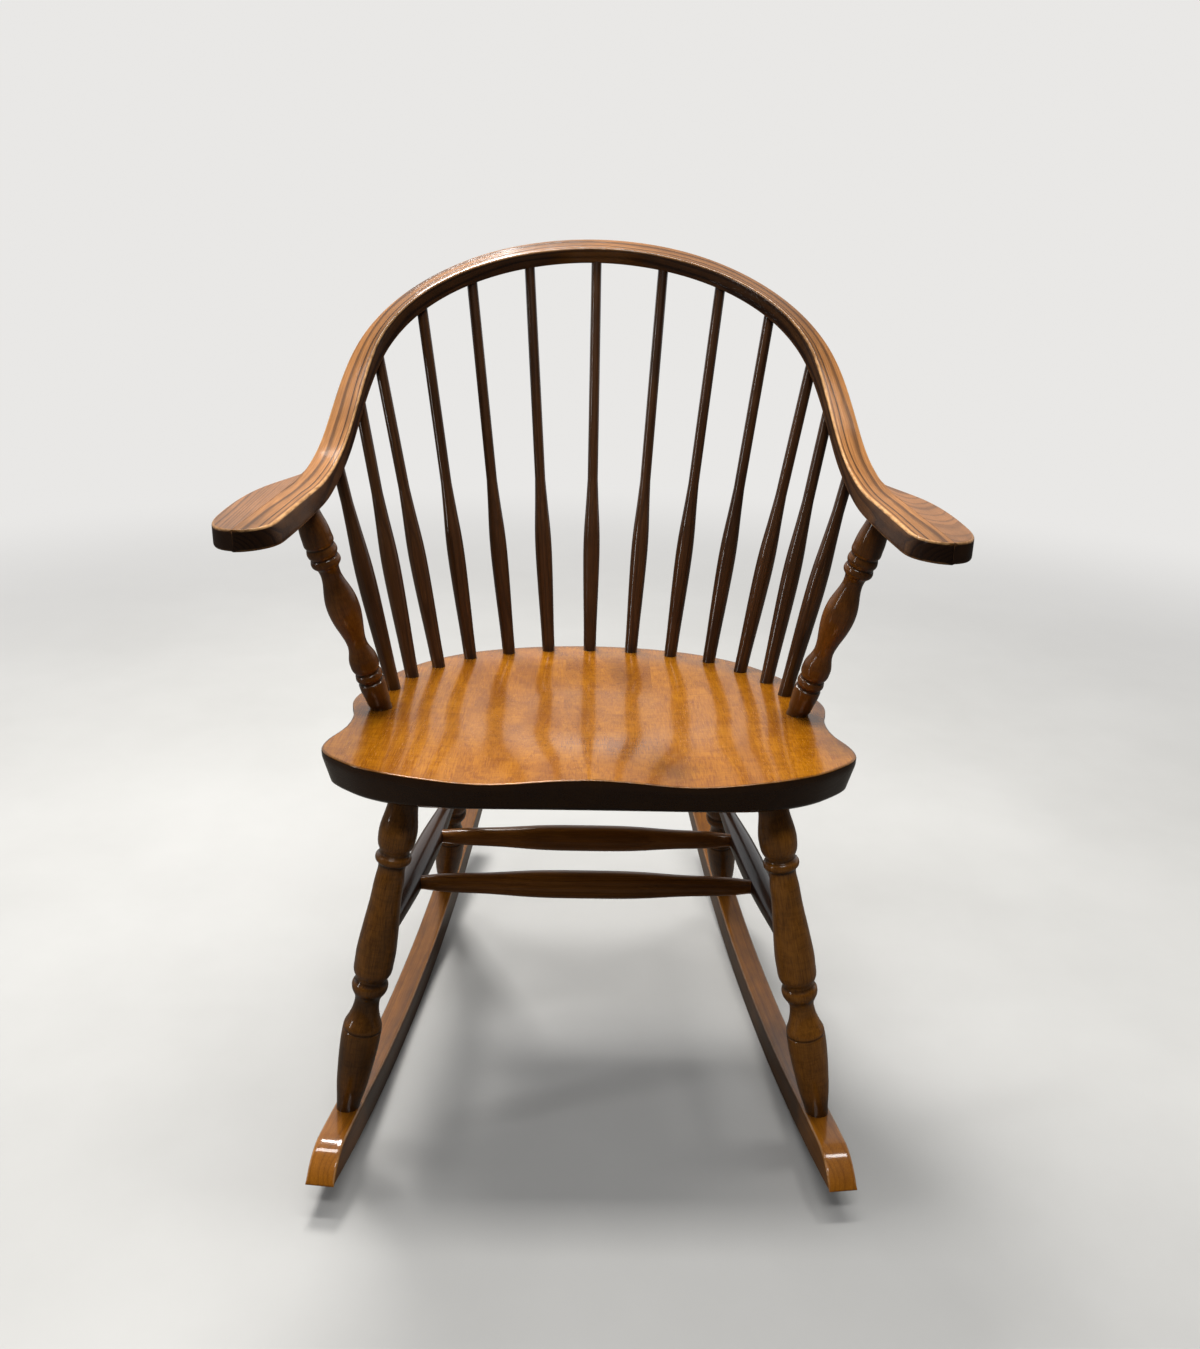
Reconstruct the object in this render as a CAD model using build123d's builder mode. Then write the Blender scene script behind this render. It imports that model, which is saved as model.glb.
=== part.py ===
from build123d import *
import math
import os

os.makedirs("parts", exist_ok=True)

# Hoop back rocking chair, +X to the sitter's left as seen from the front, +Y to the back, +Z up.
# The origin is on the floor under the middle of the chair's bounding box. All lengths are in mm.
# Stations along the depth of the chair are first given from the seat's front edge, then shifted.
SHIFT = 301.2  # from the seat's front edge back to the origin

# ---- seat ----
SEAT_TOP = 448.0  # height of the top surface at the front edge
SEAT_THICK = 39.0
SEAT_TILT = 1.76  # degrees, falling to the back
SEAT_CANT = 9.0  # how far the side leans in from its upright strip down to the underside
SEAT_UPRIGHT = 7.0  # upright strip under the flat top
SEAT_EASE = 5.0  # radius of the lower edge
BOARD_JOINTS = [-300.0, -131.0, -30.0, 75.0, 171.5, 300.0]  # x of the glue lines between the seat boards
DISH_DEPTH = 9.5
SCOOP_DEPTH = 6.5
OUTLINE = [  # right half of the seat's plan, from the middle of the front to the middle of the back
    (0, -1), (60, -1.2), (120, -1.4), (160, 0.2), (185, 4.5), (209, 12.5), (231, 24), (249, 38), (263, 52),
    (269.7, 66), (270, 80), (266.6, 96), (260.5, 113), (256.6, 132), (256, 150), (258, 168), (262.2, 184),
    (265.2, 200), (264.6, 216), (259, 238), (249, 268), (234, 300), (206, 341), (168.5, 374), (122, 397.5),
    (60, 413.5), (0, 418.5),
]

# ---- spindles ----
SPINDLE_FEET = [(0, 403), (53.3, 398.3), (103.5, 384.3), (150.6, 362.1), (185.9, 326.4), (212.7, 288.2), (227.3, 244)]
SPINDLE_TOPS = [  # points on the bow's centre line
    (0, 540.6, 934.6), (86.9, 524.8, 926.7), (158.1, 488.1, 906.5), (215.9, 443.2, 875.6), (262.8, 389.9, 825.1),
    (277.9, 342.2, 780.1), (287.1, 255.9, 714.2),
]
SPINDLE_SOCKET = 19.0  # depth in the seat, along the spindle
SPINDLE_ROOT_R = 8.0
SPINDLE_BULGE_R = 10.6
SPINDLE_TIP_R = 6.6
SPINDLE_PAST = 3.0  # how far the tip runs past the bow's centre line
CLEAR_END = 1.5  # every socket is this much deeper than its tenon

# ---- bow and arms ----
BOW_W = 29.2
BOW_T = 20.9
BOW_EASE = 2.4
ARM_FRONT_Y = -12.0
ARM_STRAIGHT_Y = 150.0
ARM_X_AT_20 = 302.2
ARM_Z_AT_20 = 680.0
ARM_DX = -0.066  # per mm of depth
ARM_DZ = 0.054
HAND_CUT = [(318.0, -12.1), (311.0, -11.6), (303.0, -9.4), (296.0, -5.0), (290.5, 1.5), (286.4, 10.0), (283.0, 22.0), (280.4, 38.0), (277.5, 55.0)]  # rounded inner corner of the arm's end
LEAN = [  # how far the lower inner edge of the bow stands proud of the upper one, by depth
    (-12.0, 5.2), (15.0, 5.8), (42.0, 6.6), (69.0, 7.0), (96.0, 6.6), (123.0, 5.6), (150.0, 4.4), (180.0, 3.0), (215.0, 1.3), (250.0, 0.4), (290.0, 0.0),
]
BOW_STATIONS = [  # centre line of the bow from the end of the straight arm to the crest, with its top normal
    ((293.6, 150.0, 687.0), (0.003, -0.054, 0.998)),
    ((290.6, 206.4, 696.0), (0.014, -0.218, 0.976)),
    ((286.7, 259.1, 716.6), (0.060, -0.470, 0.880)),
    ((282.4, 304.6, 749.3), (0.085, -0.600, 0.795)),
    ((276.2, 348.5, 785.8), (0.170, -0.620, 0.766)),
    ((262.4, 388.3, 823.5), (0.330, -0.540, 0.775)),
    ((236.0, 423.3, 857.6), (0.340, -0.430, 0.836)),
    ((199.7, 457.2, 885.4), (0.250, -0.370, 0.895)),
    ((157.2, 488.7, 906.6), (0.140, -0.370, 0.918)),
    ((109.2, 515.6, 921.9), (0.050, -0.400, 0.915)),
    ((56.2, 534.0, 931.3), (0.010, -0.415, 0.910)),
    ((0.0, 540.6, 934.6), (0.0, -0.415, 0.910)),
]
PAD_OUTLINE = [  # outer edge of the right hand pad, from its tail forward and round to the front of the arm
    (309.6, 199.0), (319.5, 176.0), (334.5, 140.0), (344.5, 92.0), (347.0, 41.0), (343.5, 9.0), (334.0, -6.5), (319.4, -12.0),
]

# ---- arm posts ----
POST_FOOT = (230.3, 181.8)
POST_TOP = (287.8, 127.0, 675.4)
POST_SOCKET = 22.0
POST_ROOT_R = 11.6
POST_TENON_R = 6.5
POST_TENON = 13.0

# ---- rockers ----
ROCKER_R = 1350.0
ROCKER_W = 29.0
ROCKER_H = 34.0
CONTACT_Y = 234.4  # where the rockers touch the floor, under the chair's balance point
NOSE_Y = -64.0
TAIL_Y = 664.0
FOOT_FRONT = (250.5, 26.0)
FOOT_REAR = (200.5, 472.0)

# ---- legs ----
LEG_TOP_FRONT = (184.7, 62.2)
LEG_TOP_REAR = (158.0, 346.0)
LEG_SOCKET = 25.0
LEG_TENON_R = 11.0
LEG_END_R = 15.3
FOOT_TENON_R = 7.0
FOOT_TENON = 20.0

# ---- stretchers ----
SIDE_STR_Z = 226.0
SIDE_STR_END_R = 8.4
SIDE_STR_R = 15.4
SIDE_STR_IN = 14.0
CROSS_YS = (181.0, 289.0)
CROSS_END_R = 8.0
CROSS_NECK_R = 9.4
CROSS_R = 15.8
CROSS_IN = 10.0


def pt(x, y, z):
    """A point given from the seat's front edge, in the chair's own frame."""
    return Vector(x, y - SHIFT, z)


def seat_z(y):
    return SEAT_TOP - math.tan(math.radians(SEAT_TILT)) * y


def smooth(a, b, v):
    t = min(1.0, max(0.0, (v - a) / (b - a)))
    return t * t * (3 - 2 * t)


def perpendicular(axis):
    base = Vector(0, 0, 1) if abs(axis.Z) < 0.9 else Vector(1, 0, 0)
    return (base - axis * base.dot(axis)).normalized()


def turning_plane(start, axis):
    """Plane whose y runs along the turning's axis and whose x is its radius."""
    x = perpendicular(axis)
    return Plane(origin=start, x_dir=x, z_dir=x.cross(axis))


def turn(start, end, runs, mode=Mode.ADD):
    """Revolve a turned profile about the line from start to end. runs: smooth runs of (distance, radius)."""
    axis = (end - start).normalized()
    with BuildSketch(turning_plane(start, axis)) as section:
        with BuildLine():
            first, last = runs[0][0], runs[-1][-1]
            Line((0, first[0]), (first[1], first[0]))
            previous = None
            for run in runs:
                pts = [(r, s) for s, r in run]
                if previous is not None and previous != pts[0]:
                    Line(previous, pts[0])
                if len(pts) == 2:
                    Line(pts[0], pts[1])
                else:
                    Spline(*pts)
                previous = pts[-1]
            Line((last[1], last[0]), (0, last[0]))
            Line((0, last[0]), (0, first[0]))
        make_face()
    revolve(section.sketch, axis=Axis(start, axis), mode=mode)


def peg(start, end, radius, mode=Mode.ADD):
    """A round rod from start to end."""
    axis = end - start
    with BuildSketch(Plane(origin=start, x_dir=perpendicular(axis.normalized()), z_dir=axis.normalized())) as section:
        Circle(radius)
    extrude(section.sketch, amount=axis.length, mode=mode)


# ------------------------------------------------------------------ rocker line and legs
def rocker_x(y):
    return FOOT_FRONT[0] + (FOOT_REAR[0] - FOOT_FRONT[0]) * (y - FOOT_FRONT[1]) / (FOOT_REAR[1] - FOOT_FRONT[1])


ROCK_DIR = Vector(FOOT_REAR[0] - FOOT_FRONT[0], FOOT_REAR[1] - FOOT_FRONT[1], 0).normalized()


def rocker_u(y):
    """Distance along the rocker from under its front foot."""
    return (y - FOOT_FRONT[1]) / ROCK_DIR.Y


def rocker_low(y):
    u = rocker_u(y) - rocker_u(CONTACT_Y)
    return ROCKER_R - math.sqrt(ROCKER_R**2 - u * u)


ROCKER_HEIGHTS = [(-25, 31.0), (18, 34.0), (110, 33.5), (250, 33.0), (380, 33.5), (472, 34.0), (570, 31.5), (652, 26.5)]


def leg_line(foot, top, side):
    fx, fy = foot
    tx, ty = top
    zf = rocker_low(fy) + ROCKER_H
    foot_pt = pt(side * fx, fy, zf)
    top_pt = pt(side * tx, ty, seat_z(ty) - SEAT_THICK / math.cos(math.radians(SEAT_TILT)))
    return foot_pt, top_pt


LEGS = {}
for side, hand in ((-1, "left"), (1, "right")):
    LEGS["leg_front_" + hand] = leg_line(FOOT_FRONT, LEG_TOP_FRONT, side)
    LEGS["leg_rear_" + hand] = leg_line(FOOT_REAR, LEG_TOP_REAR, side)


def along(line, z):
    a, b = line
    return a + (b - a) * ((z - a.Z) / (b.Z - a.Z))


# Side stretchers run between the leg axes, cross stretchers between the side stretchers.
SIDE_LINES = {}
for hand in ("left", "right"):
    SIDE_LINES[hand] = (along(LEGS["leg_front_" + hand], SIDE_STR_Z), along(LEGS["leg_rear_" + hand], SIDE_STR_Z))


def on_side(hand, y):
    a, b = SIDE_LINES[hand]
    return a + (b - a) * ((y - SHIFT - a.Y) / (b.Y - a.Y))


# ------------------------------------------------------------------ seat
def outline_points():
    right = [Vector(x, y - SHIFT) for x, y in OUTLINE]
    left = [Vector(-p.X, p.Y) for p in reversed(right[1:-1])]
    return right + left


def dish(x, y):
    """How far the saddled seat lies under its flat top. y is measured from the front edge."""
    rho = ((abs(x) / 212.0) ** 2.5 + (abs(y - 208.0) / 168.0) ** 2.5) ** (1 / 2.5)
    bowl = 1 - smooth(0.35, 1.02, rho)
    scoop = math.exp(-(((abs(x) - 100.0) / 60.0) ** 2)) * (1 - smooth(0, 150, y))
    pommel = math.exp(-((x / 46.0) ** 2)) * (1 - smooth(0, 120, y))
    return DISH_DEPTH * bowl * (1 - 0.4 * pommel) + SCOOP_DEPTH * scoop * (1 - 0.75 * bowl)


def seat_surface(x, y):
    return seat_z(y) - dish(x, y)


seat_plane = Plane(
    origin=pt(0, 0, SEAT_TOP),
    x_dir=(1, 0, 0),
    z_dir=(0, math.sin(math.radians(SEAT_TILT)), math.cos(math.radians(SEAT_TILT))),
)

# The saddled top as one smooth surface, and everything above it.
rows = []
for j in range(25):
    y = -60 + 540 * j / 24
    rows.append([pt(x, y, seat_surface(x, y)) for x in [-320 + 640 * i / 32 for i in range(33)]])
saddle = Face.make_surface_from_array_of_points(rows, tol=0.2, min_deg=3, max_deg=3)

def seat_section(depth, inset):
    """The seat's outline that far below its flat top, drawn in by the inset square to its edge."""
    pts = [(p.X, p.Y + SHIFT) for p in outline_points()]
    count = len(pts)
    drawn = []
    for i, (x, y) in enumerate(pts):
        (xa, ya), (xb, yb) = pts[i - 1], pts[(i + 1) % count]
        run = math.hypot(xb - xa, yb - ya)
        nx, ny = (yb - ya) / run, (xa - xb) / run
        if nx * x + ny * (y - 205) < 0:
            nx, ny = -nx, -ny
        drawn.append((x - nx * inset, y - ny * inset))
    with BuildSketch(seat_plane.offset(-depth)) as section:
        with BuildLine():
            Spline(*drawn, periodic=True)
        make_face()
    return section.sketch


with BuildPart() as seat_whole:
    loft([seat_section(SEAT_THICK, SEAT_CANT), seat_section(SEAT_UPRIGHT, 0)], ruled=True)
    extrude(seat_section(SEAT_UPRIGHT, 0), amount=SEAT_UPRIGHT + 14)
    bottom = seat_whole.faces().filter_by(GeomType.PLANE).sort_by(Axis.Z)[0]
    fillet(bottom.edges(), radius=SEAT_EASE)
    extrude(to_extrude=saddle, amount=60, dir=(0, 0, 1), mode=Mode.SUBTRACT)

# ------------------------------------------------------------------ bow centre line
stations = [(pt(*p), Vector(*n).normalized()) for p, n in BOW_STATIONS]
arm_tangent = {}
for side in (1, -1):
    arm_tangent[side] = Vector(side * ARM_DX, 1, ARM_DZ).normalized()


def arm_centre(side, y):
    return pt(side * (ARM_X_AT_20 + ARM_DX * (y - 20)), y, ARM_Z_AT_20 + ARM_DZ * (y - 20))


def arm_normal(side):
    t = arm_tangent[side]
    return (Vector(0, 0, 1) - t * t.Z).normalized()


half = [arm_centre(1, ARM_STRAIGHT_Y)] + [p for p, _ in stations[1:]]
normals = [arm_normal(1)] + [n for _, n in stations[1:]]
full = half + [Vector(-p.X, p.Y, p.Z) for p in reversed(half[:-1])]
full_n = normals + [Vector(-n.X, n.Y, n.Z) for n in reversed(normals[:-1])]
with BuildLine() as bow_line:
    Spline(*full, tangents=[arm_tangent[1], Vector(arm_tangent[-1].X, -arm_tangent[-1].Y, -arm_tangent[-1].Z)])
bow_edge = bow_line.edges()[0]
station_u = [bow_edge.param_at_point(p) for p in full]


def bow_normal(u):
    k = max(i for i in range(len(full)) if station_u[i] <= u + 1e-9)
    k = min(k, len(full) - 2)
    t = (u - station_u[k]) / (station_u[k + 1] - station_u[k])
    p0, p1, p2, p3 = (full_n[max(0, min(len(full) - 1, k + d))] for d in (-1, 0, 1, 2))
    n = (p1 * 2 + (p2 - p0) * t + (p0 * 2 - p1 * 5 + p2 * 4 - p3) * t**2 + (p1 * 3 - p0 - p2 * 3 + p3) * t**3) * 0.5
    return n.normalized()


def bow_plane(u):
    """Section plane of the bow: x to its inner side, y to its top face, z along it."""
    t = bow_edge.tangent_at(u).normalized()
    n = bow_normal(u)
    n = (n - t * n.dot(t)).normalized()
    return Plane(origin=bow_edge.position_at(u), x_dir=n.cross(t), z_dir=t)


ARM_YS = [ARM_FRONT_Y, 15.0, 42.0, 69.0, 96.0, 123.0]
bow_planes = []
for y in ARM_YS:
    t = arm_tangent[1]
    bow_planes.append(Plane(origin=arm_centre(1, y), x_dir=arm_normal(1).cross(t), z_dir=t))
for i in range(24):
    bow_planes.append(bow_plane(i / 48))
crest = bow_edge.position_at(0.5)
n = bow_normal(0.5)
crest_n = Vector(0, n.Y, n.Z).normalized()
bow_planes.append(Plane(origin=(0, crest.Y, crest.Z), x_dir=crest_n.cross(Vector(-1, 0, 0)), z_dir=(-1, 0, 0)))



def lean(y):
    """Extra width of the bow's underside towards the sitter, at depth y."""
    for (y0, v0), (y1, v1) in zip(LEAN[:-1], LEAN[1:]):
        if y <= y1:
            return v0 + (v1 - v0) * (y - y0) / (y1 - y0)
    return 0.0


bow_sections = []
for plane in bow_planes:
    w, t, proud = BOW_W / 2, BOW_T / 2, lean(plane.origin.Y + SHIFT)
    with BuildSketch(plane) as section:
        with BuildLine():
            Polyline((-w, -t), (w + proud, -t), (w, t), (-w, t), close=True)
        make_face()
        fillet(section.vertices(), radius=BOW_EASE)
    bow_sections.append(section.sketch)

# Both halves of the bow are alike: one is lofted from the hand to the crest and mirrored there.
with BuildPart() as bow_bar:
    loft(bow_sections)
    mirror(about=Plane.YZ)

# ------------------------------------------------------------------ spindle and post axes
SPINDLES = []
names = []
for k in range(-6, 7):
    side = 1 if k >= 0 else -1
    fx, fy = SPINDLE_FEET[abs(k)]
    tx, ty, tz = SPINDLE_TOPS[abs(k)]
    foot = pt(side * fx, fy, seat_surface(fx, fy))
    SPINDLES.append(("spindle_%02d" % (k + 7), foot, pt(side * tx, ty, tz)))

POSTS = {}
for side, hand in ((-1, "left"), (1, "right")):
    foot = pt(side * POST_FOOT[0], POST_FOOT[1], seat_surface(*POST_FOOT))
    POSTS[hand] = (foot, pt(side * POST_TOP[0], POST_TOP[1], POST_TOP[2]))

# ------------------------------------------------------------------ seat boards
with BuildPart() as seat_sockets:
    for _, foot, top in SPINDLES:
        d = (top - foot).normalized()
        peg(foot - d * (SPINDLE_SOCKET + CLEAR_END), foot + d * 14, SPINDLE_ROOT_R)
    for foot, top in POSTS.values():
        d = (top - foot).normalized()
        peg(foot - d * (POST_SOCKET + CLEAR_END), foot + d * 14, POST_ROOT_R)
    for foot, top in LEGS.values():
        d = (top - foot).normalized()
        peg(top - d * 20, top + d * (LEG_SOCKET + CLEAR_END), LEG_TENON_R)

with BuildPart() as seat_drilled:
    add(seat_whole.part)
    add(seat_sockets.part, mode=Mode.SUBTRACT)

for k in range(5):
    low, high = BOARD_JOINTS[k], BOARD_JOINTS[k + 1]
    with BuildPart() as board:
        add(seat_drilled.part)
        with Locations(((low + high) / 2, 0, SEAT_TOP)):
            Box(high - low, 900, 300, mode=Mode.INTERSECT)
    board.part.label = "seat_board_%d" % (k + 1)
    export_step(board.part, "parts/seat_board_%d.step" % (k + 1))

# ------------------------------------------------------------------ spindles
for name, foot, top in SPINDLES:
    d = (top - foot).normalized()
    length = (top - foot).length
    with BuildPart() as spindle:
        turn(
            foot - d * SPINDLE_SOCKET,
            top,
            [
                [(0, SPINDLE_ROOT_R), (SPINDLE_SOCKET + 3, SPINDLE_ROOT_R)],
                [
                    (SPINDLE_SOCKET + 3, SPINDLE_ROOT_R),
                    (SPINDLE_SOCKET + 25, 8.3),
                    (SPINDLE_SOCKET + 62, 9.3),
                    (SPINDLE_SOCKET + 100, 10.25),
                    (SPINDLE_SOCKET + 133, SPINDLE_BULGE_R),
                    (SPINDLE_SOCKET + 160, 9.9),
                    (SPINDLE_SOCKET + 184, 8.5),
                    (SPINDLE_SOCKET + 205, 7.4),
                    (SPINDLE_SOCKET + 222, SPINDLE_TIP_R),
                ],
                [(SPINDLE_SOCKET + 222, SPINDLE_TIP_R), (SPINDLE_SOCKET + length + SPINDLE_PAST, SPINDLE_TIP_R)],
            ],
        )
    spindle.part.label = name
    export_step(spindle.part, "parts/" + name + ".step")

# ------------------------------------------------------------------ arm posts
POST_PROFILE = [  # share of the visible length, radius
    [(0.024, 11.6), (0.036, 12.5), (0.055, 12.9), (0.09, 13.7), (0.125, 14.3), (0.146, 14.2)],
    [(0.146, 14.2), (0.152, 12.6), (0.158, 12.4), (0.163, 13.0)],
    [(0.163, 13.0), (0.170, 14.3), (0.183, 14.6), (0.195, 14.0)],
    [(0.195, 14.0), (0.201, 12.7), (0.208, 12.7), (0.214, 13.8)],
    [(0.214, 13.8), (0.225, 14.9), (0.248, 15.4), (0.275, 14.9), (0.302, 12.9), (0.335, 10.8), (0.365, 10.7), (0.42, 13.0), (0.48, 15.9), (0.535, 17.0), (0.58, 16.3), (0.63, 13.7), (0.67, 11.3), (0.70, 10.4), (0.722, 10.7), (0.738, 12.0), (0.745, 13.6)],
    [(0.745, 13.6), (0.755, 15.2), (0.767, 15.5), (0.781, 14.6)],
    [(0.781, 14.6), (0.786, 13.7), (0.792, 14.2)],
    [(0.792, 14.2), (0.804, 15.6), (0.818, 15.7), (0.832, 14.8)],
    [(0.832, 14.8), (0.838, 14.0), (0.845, 14.9), (0.868, 15.6), (0.90, 15.3), (0.945, 14.0), (0.98, 12.6), (1.0, 12.0), (1.04, 11.8)],
]
for side, hand in ((-1, "left"), (1, "right")):
    foot, top = POSTS[hand]
    d = (top - foot).normalized()
    length = (top - foot).length
    runs = [[(0, POST_ROOT_R), (POST_SOCKET + 0.024 * length, POST_ROOT_R)]]
    runs += [[(POST_SOCKET + share * length, r) for share, r in run] for run in POST_PROFILE]
    with BuildPart() as post:
        turn(foot - d * POST_SOCKET, top, runs)
        n = arm_normal(side)
        under = arm_centre(side, POST_TOP[1]) - n * (BOW_T / 2 + 0.08)
        with BuildSketch(Plane(origin=under, x_dir=(1, 0, 0), z_dir=Vector(0, n.Y, n.Z).normalized())):
            Rectangle(200, 200)
        extrude(amount=60, mode=Mode.SUBTRACT)
        peg(top - d * 6, top + d * POST_TENON, POST_TENON_R)
    post.part.label = "arm_post_" + hand
    export_step(post.part, "parts/arm_post_" + hand + ".step")

# ------------------------------------------------------------------ bow with its sockets
with BuildPart() as bow_sockets:
    for _, foot, top in SPINDLES:
        d = (top - foot).normalized()
        peg(top - d * 40, top + d * (SPINDLE_PAST + CLEAR_END), SPINDLE_TIP_R)
    for foot, top in POSTS.values():
        d = (top - foot).normalized()
        peg(top - d * 10, top + d * (POST_TENON + CLEAR_END), POST_TENON_R)

with BuildPart() as arm_bow:
    add(bow_bar.part)
    add(bow_sockets.part, mode=Mode.SUBTRACT)
    for side in (1, -1):
        with BuildSketch(Plane.XY.offset(600)):
            with BuildLine():
                corner = [(side * x, y - SHIFT) for x, y in HAND_CUT]
                Spline(*corner)
                Polyline(corner[-1], (side * 270.0, corner[-1][1]), (side * 270.0, corner[0][1] - 10), (corner[0][0], corner[0][1] - 10), corner[0])
            make_face()
        extrude(amount=160, mode=Mode.SUBTRACT)
arm_bow.part.label = "arm_bow"
export_step(arm_bow.part, "parts/arm_bow.step")

# ------------------------------------------------------------------ hand pads
for side, hand in ((-1, "left"), (1, "right")):
    n = arm_normal(side)
    base = arm_centre(side, 20)
    deck = Plane(origin=Vector(0, base.Y, base.Z) - n * (BOW_T / 2), x_dir=(1, 0, 0), z_dir=Vector(0, n.Y, n.Z).normalized())
    edge = [(side * x, y - 20) for x, y in PAD_OUTLINE]
    inner = [(side * (ARM_X_AT_20 + ARM_DX * (y - 20) + BOW_W / 2 + 0.3), y - 20) for y in (ARM_FRONT_Y, ARM_STRAIGHT_Y)]
    with BuildPart() as pad:
        with BuildSketch(deck):
            with BuildLine():
                Spline(*edge)
                Polyline(edge[-1], inner[1], (side * 306.9, 176.0), edge[0])
            make_face()
        extrude(amount=BOW_T)
    pad.part.label = "hand_pad_" + hand
    export_step(pad.part, "parts/hand_pad_" + hand + ".step")

# ------------------------------------------------------------------ rockers
rockers = {}
for side, hand in ((-1, "left"), (1, "right")):
    run = Vector(side * ROCK_DIR.X, ROCK_DIR.Y, 0)
    plane = Plane(origin=pt(side * FOOT_FRONT[0], FOOT_FRONT[1], 0), x_dir=run, z_dir=run.cross(Vector(0, 0, 1)))
    nose = (rocker_u(NOSE_Y), rocker_low(NOSE_Y))
    tail = (rocker_u(TAIL_Y), rocker_low(TAIL_Y))
    top_pts = [(rocker_u(y), rocker_low(y) + h) for y, h in ROCKER_HEIGHTS]
    with BuildPart() as blank:
        with BuildSketch(plane):
            with BuildLine():
                RadiusArc(nose, tail, -ROCKER_R)
                ThreePointArc(tail, (tail[0] + 1.5, tail[1] + 13), (top_pts[-1][0], top_pts[-1][1]))
                Spline(*reversed(top_pts))
                Bezier(top_pts[0], (top_pts[0][0] - 17, top_pts[0][1] - 0.6), (nose[0] + 9.5, nose[1] + 14), nose)
            make_face()
        extrude(amount=ROCKER_W / 2, both=True)
    rockers[hand] = blank.part

# ------------------------------------------------------------------ legs
LEG_PROFILE = [  # distance up from the rocker, radius
    [(-9, 11.6), (0, 11.9), (18, 14.5), (31, 16.5), (44, 17.8), (57, 19.0), (70, 19.9), (83, 20.4), (93, 20.3)],
    [(93, 20.3), (94.5, 19.5), (95.8, 20.1)],
    [(95.8, 20.1), (98.5, 19.8), (102, 18.5), (109.5, 15.7), (116, 13.9), (122.5, 13.0), (129, 13.2), (134, 15.2)],
    [(134, 15.2), (138, 17.6), (142.5, 18.8), (146.5, 18.4), (149, 17.0)],
    [(149, 17.0), (150.5, 16.2), (157, 18.6), (168, 20.3), (178, 20.6), (196, 19.8), (220, 17.8), (245, 15.8), (266, 14.7), (279.5, 14.4), (281.5, 15.0)],
    [(281.5, 15.0), (283.5, 17.6), (287, 18.6), (290.5, 17.4), (292, 15.4)],
    [(292, 15.4), (293.5, 15.2), (299, 17.4), (307, 19.3), (317, 19.6), (328, 18.2), (338, 16.4), (348, 15.4), (364, 15.1), (380, 15.1)],
]
for name, (foot, top) in LEGS.items():
    hand = name.split("_")[-1]
    d = (top - foot).normalized()
    length = (top - foot).length
    with BuildPart() as leg:
        runs = [[(s + 9, r) for s, r in run] for run in LEG_PROFILE]
        turn(foot - d * 9, top, runs)
        with BuildSketch(seat_plane.offset(-SEAT_THICK)):
            with Locations((0, SHIFT / 2)):
                Rectangle(900, 1200)
        extrude(amount=80, mode=Mode.SUBTRACT)
        add(rockers[hand], mode=Mode.SUBTRACT)
        keep = leg.solids().sort_by(SortBy.VOLUME)[-1]
        add(keep, mode=Mode.REPLACE)
        peg(foot + d * 8, foot - d * FOOT_TENON, FOOT_TENON_R)
        peg(top - d * 12, top + d * LEG_SOCKET, LEG_TENON_R)
        a, b = SIDE_LINES[hand]
        s = (b - a).normalized()
        if "front" in name:
            peg(a + s * (SIDE_STR_IN - CLEAR_END - 12), a + s * 60, SIDE_STR_END_R, Mode.SUBTRACT)
        else:
            peg(b - s * (SIDE_STR_IN - CLEAR_END - 12), b - s * 60, SIDE_STR_END_R, Mode.SUBTRACT)
    leg.part.label = name
    export_step(leg.part, "parts/" + name + ".step")

for side, hand in ((-1, "left"), (1, "right")):
    with BuildPart() as rocker:
        add(rockers[hand])
        for name, (foot, top) in LEGS.items():
            if name.endswith(hand):
                d = (top - foot).normalized()
                peg(foot + d * 12, foot - d * (FOOT_TENON + CLEAR_END), FOOT_TENON_R, Mode.SUBTRACT)
    rocker.part.label = "rocker_" + hand
    export_step(rocker.part, "parts/rocker_" + hand + ".step")

# ------------------------------------------------------------------ side stretchers
# Each end sits 1.5 mm short of the bottom of its socket in the leg.
for side, hand in ((-1, "left"), (1, "right")):
    a, b = SIDE_LINES[hand]
    s = (b - a).normalized()
    span = (b - a).length
    inset = SIDE_STR_IN - 12
    start, end = a + s * inset, b - s * inset
    total = (end - start).length
    with BuildPart() as side_stretcher:
        turn(
            start,
            end,
            [
                [(0, SIDE_STR_END_R), (22, SIDE_STR_END_R)],
                [(22, SIDE_STR_END_R), (60, 10.6), (110, 13.7), (160, SIDE_STR_R), (total - 160, SIDE_STR_R), (total - 110, 13.7), (total - 60, 10.6), (total - 22, SIDE_STR_END_R)],
                [(total - 22, SIDE_STR_END_R), (total, SIDE_STR_END_R)],
            ],
        )
        for y in CROSS_YS:
            c = on_side(hand, y)
            inward = Vector(-side, 0, 0)
            peg(c + inward * (SIDE_STR_R - CROSS_IN - CLEAR_END), c + inward * 40, CROSS_END_R, Mode.SUBTRACT)
    side_stretcher.part.label = "side_stretcher_" + hand
    export_step(side_stretcher.part, "parts/side_stretcher_" + hand + ".step")

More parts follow.
